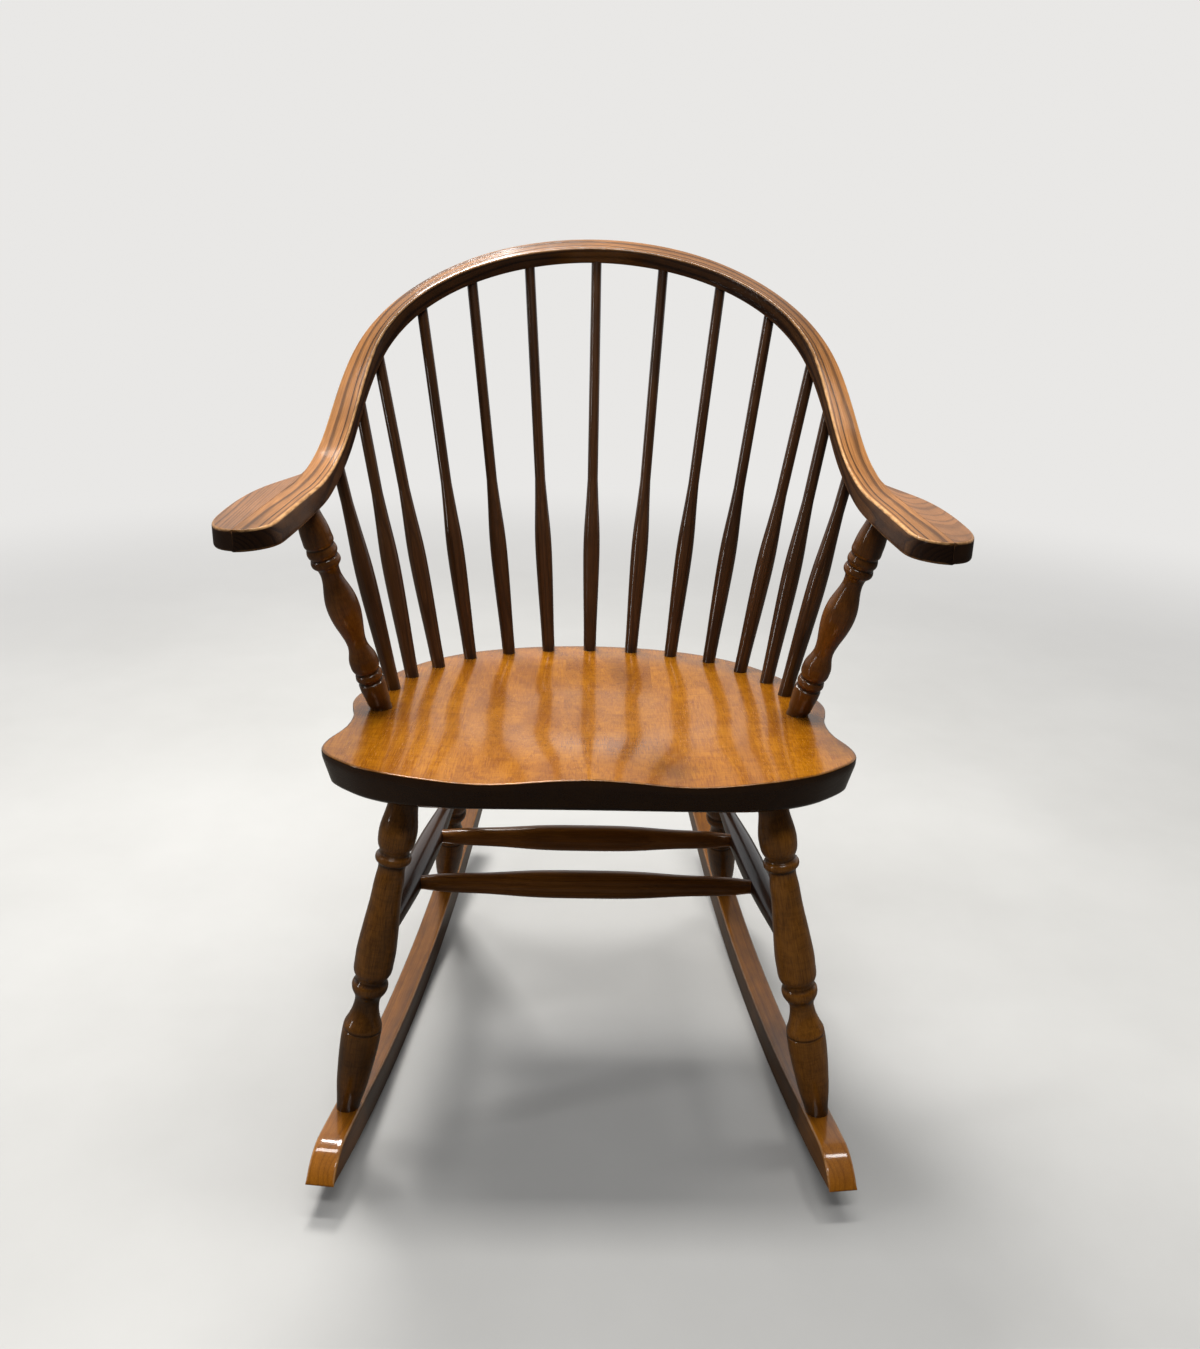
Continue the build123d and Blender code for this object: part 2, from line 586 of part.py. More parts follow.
# ------------------------------------------------------------------ cross stretchers
for y, name in zip(CROSS_YS, ("cross_stretcher_front", "cross_stretcher_rear")):
    right, left = on_side("right", y), on_side("left", y)
    start = left + Vector(SIDE_STR_R - CROSS_IN, 0, 0)
    end = right - Vector(SIDE_STR_R - CROSS_IN, 0, 0)
    total = (end - start).length
    with BuildPart() as cross:
        turn(
            start,
            end,
            [
                [(0, CROSS_END_R), (CROSS_IN + 2.5, CROSS_END_R)],
                [
                    (CROSS_IN + 2.5, CROSS_END_R),
                    (CROSS_IN + 14, CROSS_NECK_R),
                    (total * 0.20, 11.9),
                    (total * 0.33, 14.8),
                    (total * 0.5, CROSS_R),
                    (total * 0.67, 14.8),
                    (total * 0.80, 11.9),
                    (total - CROSS_IN - 14, CROSS_NECK_R),
                    (total - CROSS_IN - 2.5, CROSS_END_R),
                ],
                [(total - CROSS_IN - 2.5, CROSS_END_R), (total, CROSS_END_R)],
            ],
        )
    cross.part.label = name
    export_step(cross.part, "parts/" + name + ".step")
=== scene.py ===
import math

import bpy
import numpy as np
from mathutils import Matrix, Vector


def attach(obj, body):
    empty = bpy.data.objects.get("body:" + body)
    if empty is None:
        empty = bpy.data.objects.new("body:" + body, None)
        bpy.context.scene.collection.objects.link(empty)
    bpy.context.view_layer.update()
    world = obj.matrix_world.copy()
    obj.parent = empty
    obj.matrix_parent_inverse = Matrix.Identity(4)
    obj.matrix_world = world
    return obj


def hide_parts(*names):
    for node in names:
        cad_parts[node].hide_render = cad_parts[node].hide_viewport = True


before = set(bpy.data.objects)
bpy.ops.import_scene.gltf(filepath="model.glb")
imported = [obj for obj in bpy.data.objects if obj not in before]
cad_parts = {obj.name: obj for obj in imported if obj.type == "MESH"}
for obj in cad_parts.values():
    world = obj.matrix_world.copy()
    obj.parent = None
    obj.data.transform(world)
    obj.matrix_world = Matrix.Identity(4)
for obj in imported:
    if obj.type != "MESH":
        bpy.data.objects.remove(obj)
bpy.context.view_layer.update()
rng = np.random.default_rng(7)
SHIFT = 301.2  # mm from the seat's front edge back to the frame's origin


# ------------------------------------------------------------------ small geometry helpers (mm, y from the seat's front edge)
def V(*p):
    return np.array(p, float)


def unit(v):
    return v / np.linalg.norm(v)


def spline(points, closed=False):
    """Cubic spline through points, by chord length. Returns (total length parameter, function)."""
    p = np.asarray(points, float)
    if closed:
        k = 4
        p = np.vstack([p[-k:], p, p[:k]])
    t = np.concatenate([[0], np.cumsum(np.linalg.norm(np.diff(p, axis=0), axis=1) ** (1.0 if not closed else 1.0))])
    n = len(p)
    h = np.diff(t)
    a = np.zeros((n, n))
    b = np.zeros((n, p.shape[1]))
    a[0, 0] = a[-1, -1] = 1
    for i in range(1, n - 1):
        a[i, i - 1], a[i, i], a[i, i + 1] = h[i - 1], 2 * (h[i - 1] + h[i]), h[i]
        b[i] = 6 * ((p[i + 1] - p[i]) / h[i] - (p[i] - p[i - 1]) / h[i - 1])
    m = np.linalg.solve(a, b)

    def f(u):
        u = np.atleast_1d(u)
        i = np.clip(np.searchsorted(t, u, side="right") - 1, 0, n - 2)
        d = (u - t[i])[:, None]
        hi = h[i][:, None]
        return (
            p[i]
            + d * ((p[i + 1] - p[i]) / hi - hi * (2 * m[i] + m[i + 1]) / 6)
            + d * d * m[i] / 2
            + d**3 * (m[i + 1] - m[i]) / (6 * hi)
        )

    if closed:
        return t[k + len(points)] - t[k], lambda u: f(np.asarray(u) % (t[k + len(points)] - t[k]) + t[k])
    return t[-1], f


def smoothstep(a, b, v):
    t = np.clip((np.asarray(v, float) - a) / (b - a), 0, 1)
    return t * t * (3 - 2 * t)


class Mesh:
    """Collects vertices with their wood coordinates and shading values, then makes the Blender object."""

    def __init__(self):
        self.v, self.g, self.w, self.f = [], [], [], []

    def add(self, points, grain, wear=0.0, tone=0.0, gloss=1.0):
        start = len(self.v)
        points = np.asarray(points, float)
        n = len(points)
        wear = np.broadcast_to(wear, (n,))
        tone = np.broadcast_to(tone, (n,))
        gloss = np.broadcast_to(gloss, (n,))
        for i in range(n):
            self.v.append(tuple(points[i]))
            self.g.append(tuple(grain[i]))
            self.w.append((float(wear[i]), float(tone[i]), float(gloss[i])))
        return list(range(start, start + n))

    def loops(self, rings, closed=True):
        """Joins rings of vertex numbers with quads."""
        for a, b in zip(rings[:-1], rings[1:]):
            n = len(a)
            for i in range(n if closed else n - 1):
                j = (i + 1) % n
                self.f.append((a[i], a[j], b[j], b[i]))

    def cap(self, ring, flip=False):
        pts = np.array([self.v[i] for i in ring])
        c = self.add([pts.mean(0)], [np.array([self.g[i] for i in ring]).mean(0)], np.mean([self.w[i][0] for i in ring]), np.mean([self.w[i][1] for i in ring]))[0]
        n = len(ring)
        for i in range(n):
            j = (i + 1) % n
            self.f.append((ring[j], ring[i], c) if flip else (ring[i], ring[j], c))

    def build(self, name, node, material, sharp=None):
        me = bpy.data.meshes.new(name)
        co = np.array(self.v)
        co[:, 1] -= SHIFT
        me.from_pydata((co / 1000).tolist(), [], self.f)
        me.validate()
        for key, data in (("grain", self.g), ("wear", self.w)):
            att = me.attributes.new(key, "FLOAT_VECTOR", "POINT")
            att.data.foreach_set("vector", np.array(data, np.float32).ravel())
        ob = bpy.data.objects.new(name, me)
        bpy.context.collection.objects.link(ob)
        import bmesh

        bm = bmesh.new()
        bm.from_mesh(me)
        bmesh.ops.recalc_face_normals(bm, faces=bm.faces)
        bm.to_mesh(me)
        bm.free()
        me.shade_smooth()
        if sharp is not None:
            me.set_sharp_from_angle(angle=math.radians(sharp))
        me.materials.append(material)
        if node:
            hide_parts(*([node] if isinstance(node, str) else node))
        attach(ob, "root")
        return ob


# ------------------------------------------------------------------ materials
class Net:
    """Short way to write a node tree."""

    def __init__(self, name):
        self.mat = bpy.data.materials.new(name)
        self.mat.use_nodes = True
        self.t = self.mat.node_tree
        self.t.nodes.clear()

    def put(self, socket, value):
        if isinstance(value, bpy.types.NodeSocket):
            self.t.links.new(value, socket)
        elif value is not None:
            if hasattr(socket, "default_value") and isinstance(value, (tuple, list)) and socket.type == "RGBA" and len(value) == 3:
                value = (*value, 1.0)
            socket.default_value = value

    def node(self, kind, ins=None, **props):
        n = self.t.nodes.new(kind)
        for k, v in props.items():
            setattr(n, k, v)
        for k, v in (ins or {}).items():
            self.put(n.inputs[k], v)
        return n

    def math(self, op, a, b=None, c=None, clamp=False):
        n = self.node("ShaderNodeMath", operation=op, use_clamp=clamp)
        self.put(n.inputs[0], a)
        if b is not None:
            self.put(n.inputs[1], b)
        if c is not None:
            self.put(n.inputs[2], c)
        return n.outputs[0]

    def vmath(self, op, a, b=None, scale=None):
        n = self.node("ShaderNodeVectorMath", operation=op)
        self.put(n.inputs[0], a)
        if b is not None:
            self.put(n.inputs[1], b)
        if scale is not None:
            self.put(n.inputs["Scale"], scale)
        return n.outputs["Value"] if op in ("LENGTH", "DOT_PRODUCT", "DISTANCE") else n.outputs["Vector"]

    def attr(self, name):
        return self.node("ShaderNodeAttribute", attribute_name=name).outputs["Vector"]

    def xyz(self, v):
        n = self.node("ShaderNodeSeparateXYZ", {0: v})
        return n.outputs[0], n.outputs[1], n.outputs[2]

    def join(self, x, y, z):
        return self.node("ShaderNodeCombineXYZ", {0: x, 1: y, 2: z}).outputs[0]

    def noise(self, v, scale=1.0, detail=3.0, rough=0.55, distortion=0.0):
        n = self.node("ShaderNodeTexNoise", {"Vector": v, "Scale": scale, "Detail": detail, "Roughness": rough, "Distortion": distortion})
        return n.outputs["Fac"]

    def ramp(self, fac, stops, mode="LINEAR"):
        n = self.node("ShaderNodeValToRGB", {"Fac": fac})
        cr = n.color_ramp
        cr.interpolation = mode
        while len(cr.elements) > 1:
            cr.elements.remove(cr.elements[-1])
        first = True
        for pos, col in stops:
            if isinstance(col, (int, float)):
                col = (col, col, col)
            e = cr.elements[0] if first else cr.elements.new(pos)
            e.position = pos
            e.color = (*col, 1.0)
            first = False
        return n.outputs["Color"]

    def mix(self, fac, a, b, blend="MIX"):
        n = self.node("ShaderNodeMix", data_type="RGBA", blend_type=blend)
        self.put(n.inputs[0], fac)
        self.put(n.inputs[6], a)
        self.put(n.inputs[7], b)
        return n.outputs[2]

    def span(self, v, a, b, c=0.0, d=1.0, smooth=False):
        n = self.node("ShaderNodeMapRange", {"Value": v, "From Min": a, "From Max": b, "To Min": c, "To Max": d}, clamp=True)
        if smooth:
            n.interpolation_type = "SMOOTHSTEP"
        return n.outputs["Result"]


def wood(name, dark, mid, light, ring=4.0, ring_depth=0.6, pore=0.5, fibre=0.5, rough=0.38, coat=0.6, coat_rough=0.12, toner_and_shade_col=(0.03, 0.012, 0.006), wear_col=(0.75, 0.42, 0.18), blotch=0.35, bump=0.25, figure=0.0, satin=0.0, spec=0.12, cover=0.93, rubbed=False):
    """Varnished wood from the vertex attributes grain (mm, z along the grain) and wear (x: edge wear, y: darkening,
    partly toning lacquer and partly painted shade).
    """
    n = Net(name)
    g = n.attr("grain")
    wx, wy, wz = n.xyz(n.attr("wear"))
    gx, gy, gz = n.xyz(g)
    # slow wander of the fibres, so the rings aren't perfect
    low = n.node("ShaderNodeTexNoise", {"Vector": n.vmath("MULTIPLY", g, (0.018, 0.018, 0.004)), "Scale": 1.0, "Detail": 2.0}).outputs["Color"]
    low = n.vmath("SCALE", n.vmath("SUBTRACT", low, (0.5, 0.5, 0.5)), scale=11.0)
    fine = n.node("ShaderNodeTexNoise", {"Vector": n.vmath("MULTIPLY", g, (0.16, 0.16, 0.012)), "Scale": 1.0, "Detail": 3.0}).outputs["Color"]
    fine = n.vmath("SCALE", n.vmath("SUBTRACT", fine, (0.5, 0.5, 0.5)), scale=1.4)
    p = n.vmath("ADD", n.vmath("ADD", g, low), fine)
    px, py, pz = n.xyz(p)
    radius = n.math("SQRT", n.math("ADD", n.math("MULTIPLY", px, px), n.math("MULTIPLY", py, py)))
    # growth rings: a row of open pores at the start of each year, then denser wood
    wide = n.noise(n.join(n.math("MULTIPLY", radius, 0.06), 0.0, 0.0), detail=1.0)
    turn = n.math("ADD", n.math("DIVIDE", radius, ring), n.math("MULTIPLY", wide, 2.2))
    year = n.math("FRACT", turn)
    band = n.ramp(year, [(0.0, 1.0), (0.15, 1.0), (0.26, 0.40), (0.42, 0.10), (0.86, 0.0), (0.94, 0.45), (0.98, 1.0)])
    strength = n.span(n.noise(n.join(n.math("FLOOR", turn), 3.1, 0.0), scale=2.3, detail=0.0), 0.3, 0.7, 0.45, 1.0)
    band = n.math("MULTIPLY", band, strength)
    # fibres and pores
    streak = n.noise(n.vmath("MULTIPLY", p, (1.1, 1.1, 0.018)), detail=4.0, rough=0.6)
    hair = n.noise(n.vmath("MULTIPLY", p, (4.2, 4.2, 0.05)), detail=3.0, rough=0.6)
    pores = n.span(n.noise(n.vmath("MULTIPLY", g, (3.1, 3.1, 0.075)), detail=2.0, rough=0.5), 0.60, 0.70, 0.0, 1.0)
    pores = n.math("MULTIPLY", pores, n.math("ADD", 0.25, n.math("MULTIPLY", band, 0.9)), clamp=True)
    # colour
    c = n.mix(n.span(streak, 0.30, 0.70, 0.0, 1.0), mid, light)
    c = n.mix(n.math("MULTIPLY", n.span(hair, 0.35, 0.70, 0.0, 1.0), fibre), c, mid)
    c = n.mix(n.math("MULTIPLY", band, ring_depth), c, dark)
    c = n.mix(n.math("MULTIPLY", pores, pore), c, dark)
    if figure:
        # light curly flames across the grain, and short fine flecks along it
        wave = n.noise(n.vmath("MULTIPLY", p, (0.030, 0.035, 0.045)), detail=3.0, distortion=1.2)
        c = n.mix(n.math("MULTIPLY", n.span(wave, 0.42, 0.62, 0.0, 1.0, smooth=True), figure), c, light)
        curl = n.noise(n.vmath("MULTIPLY", p, (0.035, 0.035, 0.22)), detail=3.0, rough=0.55, distortion=1.6)
        c = n.mix(n.math("MULTIPLY", n.span(curl, 0.46, 0.62, 0.0, 1.0), figure * 0.7), c, dark)
        fleck = n.noise(n.vmath("MULTIPLY", g, (0.62, 0.62, 0.050)), detail=4.0, rough=0.6, distortion=0.5)
        c = n.mix(n.math("MULTIPLY", n.span(fleck, 0.50, 0.68, 0.0, 1.0), figure * 1.1, clamp=True), c, dark)
        c = n.mix(n.math("MULTIPLY", n.span(fleck, 0.47, 0.32, 0.0, 1.0), figure * 1.1, clamp=True), c, light)
    patch = n.noise(n.vmath("MULTIPLY", g, (0.022, 0.022, 0.0075)), detail=3.0, rough=0.5)
    c = n.mix(n.math("MULTIPLY", n.span(patch, 0.42, 0.68, 0.0, 1.0, smooth=True), blotch), c, dark)
    # darkening: partly toning lacquer where the finisher held the gun, partly painted shade on undersides, inner faces
    # and around joints; thinner on edges
    ragged = n.noise(n.vmath("MULTIPLY", g, (0.05, 0.05, 0.03)), detail=4.0)
    tone = n.math("ADD", wy, n.math("MULTIPLY", n.math("SUBTRACT", ragged, 0.5), n.math("MULTIPLY", n.math("MULTIPLY", wy, n.math("SUBTRACT", 1.0, wy)), 2.4)), clamp=True)
    c = n.mix(n.math("MULTIPLY", tone, cover), c, toner_and_shade_col)
    chips = n.noise(n.vmath("MULTIPLY", g, (0.22, 0.22, 0.07)), detail=5.0, rough=0.65)
    edge = n.math("MULTIPLY", wx, n.span(chips, 0.36, 0.60, 0.25, 1.0), clamp=True)
    c = n.mix(edge, c, wear_col)
    # surface
    relief = n.math("SUBTRACT", n.math("MULTIPLY", streak, 0.35), n.math("ADD", n.math("MULTIPLY", pores, 0.8), n.math("MULTIPLY", band, 0.25)))
    b = n.node("ShaderNodeBump", {"Strength": bump, "Distance": 0.0006, "Height": relief})
    r = n.math("ADD", rough, n.math("ADD", n.math("MULTIPLY", n.math("SUBTRACT", streak, 0.5), 0.16), n.math("MULTIPLY", pores, 0.12)))
    s = n.node("ShaderNodeBsdfPrincipled", {"Base Color": c, "Roughness": r, "Coat Weight": coat, "Coat Roughness": coat_rough, "Coat IOR": 1.5, "Specular IOR Level": spec, "Metallic": satin, "Normal": b.outputs[0]})
    gloss = n.node("ShaderNodeBump", {"Strength": bump * 0.35, "Distance": 0.0006, "Height": relief})
    n.put(s.inputs["Coat Normal"], gloss.outputs[0])
    if rubbed:  # the lacquer is rubbed dull where hands and backs touch it
        n.put(s.inputs["Coat Weight"], n.math("MULTIPLY", wz, coat))
    out = n.node("ShaderNodeOutputMaterial")
    n.t.links.new(s.outputs[0], out.inputs[0])
    return n.mat


# dark colour for toning lacquer and for painted shade
DARK_TONER_AND_SHADE = (0.010, 0.0045, 0.003)
MAT = {
    "seat": wood("seat_wood", (0.19, 0.046, 0.001), (0.345, 0.100, 0.002), (0.58, 0.222, 0.008), ring=8.0, ring_depth=0.32, pore=0.30, fibre=0.30, rough=0.22, coat=0.42, coat_rough=0.08, toner_and_shade_col=DARK_TONER_AND_SHADE, blotch=0.42, bump=0.10, figure=0.40, satin=0.24),
    "bow": wood("bow_wood", (0.030, 0.011, 0.005), (0.285, 0.113, 0.030), (0.56, 0.252, 0.082), ring=4.6, ring_depth=0.97, pore=0.8, fibre=0.5, rough=0.56, coat=0.20, coat_rough=0.13, toner_and_shade_col=(0.012, 0.0055, 0.0035), blotch=0.3, bump=0.5, spec=0.06, cover=0.985, rubbed=True),
    "spindle": wood("spindle_wood", (0.012, 0.0045, 0.0018), (0.048, 0.0185, 0.006), (0.115, 0.047, 0.014), ring=5.0, ring_depth=0.45, pore=0.5, fibre=0.5, rough=0.40, coat=0.95, coat_rough=0.07, toner_and_shade_col=DARK_TONER_AND_SHADE, blotch=0.45, bump=0.14, wear_col=(0.30, 0.13, 0.05)),
    "arm_post": wood("arm_post_wood", (0.030, 0.009, 0.002), (0.140, 0.046, 0.007), (0.28, 0.105, 0.018), ring=7.0, ring_depth=0.22, pore=0.3, fibre=0.4, rough=0.36, coat=0.55, coat_rough=0.08, toner_and_shade_col=DARK_TONER_AND_SHADE, blotch=0.5, bump=0.16, figure=0.2),
    "leg": wood("leg_wood", (0.028, 0.010, 0.002), (0.145, 0.049, 0.006), (0.32, 0.122, 0.017), ring=9.0, ring_depth=0.16, pore=0.12, fibre=0.18, rough=0.36, coat=0.65, coat_rough=0.05, toner_and_shade_col=DARK_TONER_AND_SHADE, blotch=0.75, bump=0.16, figure=0.3),
    "leg_warm": wood("leg_warm_wood", (0.045, 0.015, 0.002), (0.215, 0.072, 0.007), (0.42, 0.160, 0.020), ring=9.0, ring_depth=0.16, pore=0.12, fibre=0.18, rough=0.36, coat=0.65, coat_rough=0.05, toner_and_shade_col=DARK_TONER_AND_SHADE, blotch=0.55, bump=0.16, figure=0.3),
    "side_stretcher": wood("side_stretcher_wood", (0.010, 0.004, 0.002), (0.036, 0.014, 0.006), (0.08, 0.032, 0.012), ring=5.0, ring_depth=0.45, pore=0.5, fibre=0.45, rough=0.38, coat=0.7, coat_rough=0.14, toner_and_shade_col=DARK_TONER_AND_SHADE, blotch=0.4, bump=0.25),
    "cross_stretcher": wood("cross_stretcher_wood", (0.048, 0.014, 0.003), (0.22, 0.075, 0.010), (0.42, 0.155, 0.024), ring=5.0, ring_depth=0.30, pore=0.5, fibre=0.45, rough=0.38, coat=0.5, coat_rough=0.12, toner_and_shade_col=DARK_TONER_AND_SHADE, blotch=0.4, bump=0.25),
    "rocker": wood("rocker_wood", (0.080, 0.022, 0.002), (0.31, 0.097, 0.005), (0.52, 0.190, 0.012), ring=6.0, ring_depth=0.28, pore=0.5, fibre=0.4, rough=0.34, coat=0.9, coat_rough=0.07, toner_and_shade_col=DARK_TONER_AND_SHADE, blotch=0.35, bump=0.08),
    "hand_pad": wood("hand_pad_wood", (0.060, 0.022, 0.008), (0.24, 0.092, 0.024), (0.44, 0.190, 0.060), ring=5.0, ring_depth=0.80, pore=0.75, fibre=0.5, rough=0.50, coat=0.22, coat_rough=0.18, toner_and_shade_col=(0.012, 0.0055, 0.0035), blotch=0.25, bump=0.5, cover=0.985),
    "hand_pad_arched": wood("hand_pad_arched_wood", (0.085, 0.034, 0.012), (0.25, 0.100, 0.030), (0.44, 0.195, 0.068), ring=11.0, ring_depth=0.62, pore=0.6, fibre=0.5, rough=0.50, coat=0.24, coat_rough=0.18, toner_and_shade_col=(0.012, 0.0055, 0.0035), blotch=0.2, bump=0.4, cover=0.985),
}


# ------------------------------------------------------------------ seat
SEAT_TILT = math.radians(1.76)
OUTLINE = [
    (0, -1), (60, -1.2), (120, -1.4), (160, 0.2), (185, 4.5), (209, 12.5), (231, 24), (249, 38), (263, 52),
    (269.7, 66), (270, 80), (266.6, 96), (260.5, 113), (256.6, 132), (256, 150), (258, 168), (262.2, 184),
    (265.2, 200), (264.6, 216), (259, 238), (249, 268), (234, 300), (206, 341), (168.5, 374), (122, 397.5),
    (60, 413.5), (0, 418.5),
]
SPINDLE_FEET = [(0, 403), (53.3, 398.3), (103.5, 384.3), (150.6, 362.1), (185.9, 326.4), (212.7, 288.2), (227.3, 244)]
BOARDS = [-300.0, -131.0, -30.0, 75.0, 171.5, 300.0]


def seat_flat(y):
    return 448.0 - math.tan(SEAT_TILT) * np.asarray(y, float)


def dish(x, y):
    ax = np.abs(x)
    rho = ((ax / 212.0) ** 2.5 + (np.abs(y - 208.0) / 168.0) ** 2.5) ** (1 / 2.5)
    bowl = 1 - smoothstep(0.35, 1.02, rho)
    scoop = np.exp(-(((ax - 100.0) / 60.0) ** 2)) * (1 - smoothstep(0, 150, y))
    pommel = np.exp(-((x / 46.0) ** 2)) * (1 - smoothstep(0, 120, y))
    return 9.5 * bowl * (1 - 0.4 * pommel) + 6.5 * scoop * (1 - 0.75 * bowl)


def seat_top(x, y):
    return seat_flat(y) - dish(np.asarray(x, float), np.asarray(y, float))


def make_seat():
    pts = [(x, y) for x, y in OUTLINE] + [(-x, y) for x, y in reversed(OUTLINE[1:-1])]
    length, f = spline(pts, closed=True)
    n = 420
    edge = f(np.linspace(0, length, n, endpoint=False))
    centre = V(0, 205)
    nrm = np.roll(edge, -1, 0) - np.roll(edge, 1, 0)
    nrm = np.stack([nrm[:, 1], -nrm[:, 0]], 1)
    nrm /= np.linalg.norm(nrm, axis=1)[:, None]
    if np.mean(np.sum(nrm * (edge - centre), 1)) < 0:
        nrm = -nrm
    rings = []
    # top surface rings, close together near the arris
    ts = list(np.linspace(0.02, 0.90, 46)) + [0.92, 0.94, 0.955, 0.97, 0.98, 0.988]
    top = []

    def spot(x, y, x0, y0, rx, ry, depth):
        return depth * np.exp(-(((x - x0) / rx) ** 2) - ((y - y0) / ry) ** 2)

    def toner_and_painted_shade_top(xy, t):
        """Darkening on the upper face: toning on the wings and one smudge at the front, painted shade around the arm
        post and spindle feet.
        """
        x, y = xy[:, 0], xy[:, 1]
        v = spot(x, y, 264, 92, 26, 26, 0.52)
        v = v + spot(x, y, 86, 32, 24, 26, 0.40) + spot(x, y, 58, 78, 44, 40, 0.20)
        # painted shade around the arm post feet
        v = v + spot(np.abs(x), y, 234, 170, 26, 34, 0.62) + spot(np.abs(x), y, 262, 200, 22, 40, 0.40)
        v = v + spot(x, y, 38, 322, 16, 26, 0.16) + spot(x, y, -58, 338, 30, 12, 0.10)
        # painted shade around the spindle feet
        for k, (fx, fy) in enumerate(SPINDLE_FEET):
            v = v + spot(x, y, fx, fy, 12, 14, 0.5) + (spot(x, y, -fx, fy, 12, 14, 0.5) if k else 0.0)
        rim = float(smoothstep(0.93, 0.99, t)) * (0.06 + 0.22 * smoothstep(150, 330, y))
        return np.clip(v + rim, 0.0, 0.8)

    for t in ts:
        xy = centre + (edge - centre) * t
        top.append((xy, seat_top(xy[:, 0], xy[:, 1]), 0.0, toner_and_painted_shade_top(xy, t)))
    # arris and rounded underside: (inset, drop, wear, tone)
    side = [(1.5, 0.04), (0.9, 0.20), (0.45, 0.5), (0.12, 1.1), (0.0, 2.2), (0.0, 5.0), (0.06, 6.6), (0.4, 8.6), (1.2, 11.6)]
    side += [(1.2 + 6.5 * t, 11.6 + 23.0 * t) for t in np.linspace(0.1, 1.0, 9)]
    for a in np.linspace(0.15, 1.0, 8):
        ang = a * math.radians(74)
        side.append((7.7 + 4.6 * (math.sin(ang + math.radians(16)) - math.sin(math.radians(16))) + 1.9 * a * a, 34.6 + 4.4 * (math.sin(ang) / math.sin(math.radians(74)))))
    for k, (inset, drop) in enumerate(side):
        xy = edge - nrm * inset
        z0 = seat_top(edge[:, 0] - nrm[:, 0] * 1.5, edge[:, 1] - nrm[:, 1] * 1.5)
        zflat = seat_flat(xy[:, 1])
        frac = drop / 39.0
        z = z0 * (1 - frac) + (seat_flat(edge[:, 1]) - 39.0) * frac
        wear = math.exp(-(((k - 1.6) / 1.0) ** 2)) * 0.15
        # painted shade: the side and the rounded underside darken towards near-black
        tone = max(0.6, float(smoothstep(0.05, 0.9, drop)))
        top.append((xy, z, wear, tone))
    # painted shade on the flat underside
    for t in (0.86, 0.7, 0.4, 0.1):
        base = edge - nrm * 13.2
        xy = centre + (base - centre) * t
        top.append((xy, seat_flat(xy[:, 1]) - 39.0, 0.0, 0.55))
    import bmesh

    for b in range(5):
        lo, hi = BOARDS[b], BOARDS[b + 1]
        m = Mesh()
        off = rng.uniform(-1, 1, 3) * V(25, 6, 500)
        cx, depth = (lo + hi) / 2 + rng.uniform(-20, 20), rng.uniform(45, 95) * (1 if b % 2 else -1)
        loops = []
        rim_tone = []
        shift = (0.02, 0.0, 0.08, 0.02, 0.05)[b]
        rake = (0.05, -0.10, 0.16, 0.07, -0.06)[b]  # the heart runs out of each board, which draws arches on its face
        for xy, z, wear, tone in top:
            p = np.column_stack([xy, z])
            g = np.column_stack([xy[:, 0] - cx + off[0], z - 430 + depth + off[1] + rake * (xy[:, 1] - 200), xy[:, 1] + off[2]])
            tone = np.clip(np.asarray(tone) + shift * (np.asarray(tone) < 0.9), 0, 1)
            loops.append(m.add(p, g, wear, tone))
        m.loops(loops)
        m.cap(loops[0])
        m.cap(loops[-1], flip=True)
        me = bpy.data.meshes.new("tmp")
        me.from_pydata([tuple(q) for q in m.v], [], m.f)
        for key, data in (("grain", m.g), ("wear", m.w)):
            me.attributes.new(key, "FLOAT_VECTOR", "POINT").data.foreach_set("vector", np.array(data, np.float32).ravel())
        bm = bmesh.new()
        bm.from_mesh(me)
        bmesh.ops.recalc_face_normals(bm, faces=bm.faces)
        for x, keep_right in ((lo, True), (hi, False)):
            if abs(x) > 290:
                continue
            geom = bm.verts[:] + bm.edges[:] + bm.faces[:]
            cut = bmesh.ops.bisect_plane(bm, geom=geom, plane_co=(x, 0, 0), plane_no=(-1, 0, 0) if keep_right else (1, 0, 0), clear_outer=True)
            edges = [e for e in cut["geom_cut"] if isinstance(e, bmesh.types.BMEdge)]
            bmesh.ops.holes_fill(bm, edges=[e for e in edges if e.is_boundary], sides=0)
        bm.to_mesh(me)
        bm.free()
        ob = bpy.data.objects.new("seat_board_%d_wood" % (b + 1), me)
        me.transform(Matrix.Diagonal((0.001, 0.001, 0.001, 1)) @ Matrix.Translation((0, -SHIFT, 0)))
        bpy.context.collection.objects.link(ob)
        me.shade_smooth()
        me.set_sharp_from_angle(angle=math.radians(38))
        me.materials.append(MAT["seat"])
        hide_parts("seat_board_%d" % (b + 1))
        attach(ob, "root")


make_seat()


# ------------------------------------------------------------------ bow
BOW_W, BOW_T = 29.2, 20.9
STATIONS = [
    ((293.6, 150.0, 687.0), (0.003, -0.054, 0.998)),
    ((290.6, 206.4, 696.0), (0.014, -0.218, 0.976)),
    ((286.7, 259.1, 716.6), (0.060, -0.470, 0.880)),
    ((282.4, 304.6, 749.3), (0.085, -0.600, 0.795)),
    ((276.2, 348.5, 785.8), (0.170, -0.620, 0.766)),
    ((262.4, 388.3, 823.5), (0.330, -0.540, 0.775)),
    ((236.0, 423.3, 857.6), (0.340, -0.430, 0.836)),
    ((199.7, 457.2, 885.4), (0.250, -0.370, 0.895)),
    ((157.2, 488.7, 906.6), (0.140, -0.370, 0.918)),
    ((109.2, 515.6, 921.9), (0.050, -0.400, 0.915)),
    ((56.2, 534.0, 931.3), (0.010, -0.415, 0.910)),
    ((0.0, 540.6, 934.6), (0.0, -0.415, 0.910)),
]


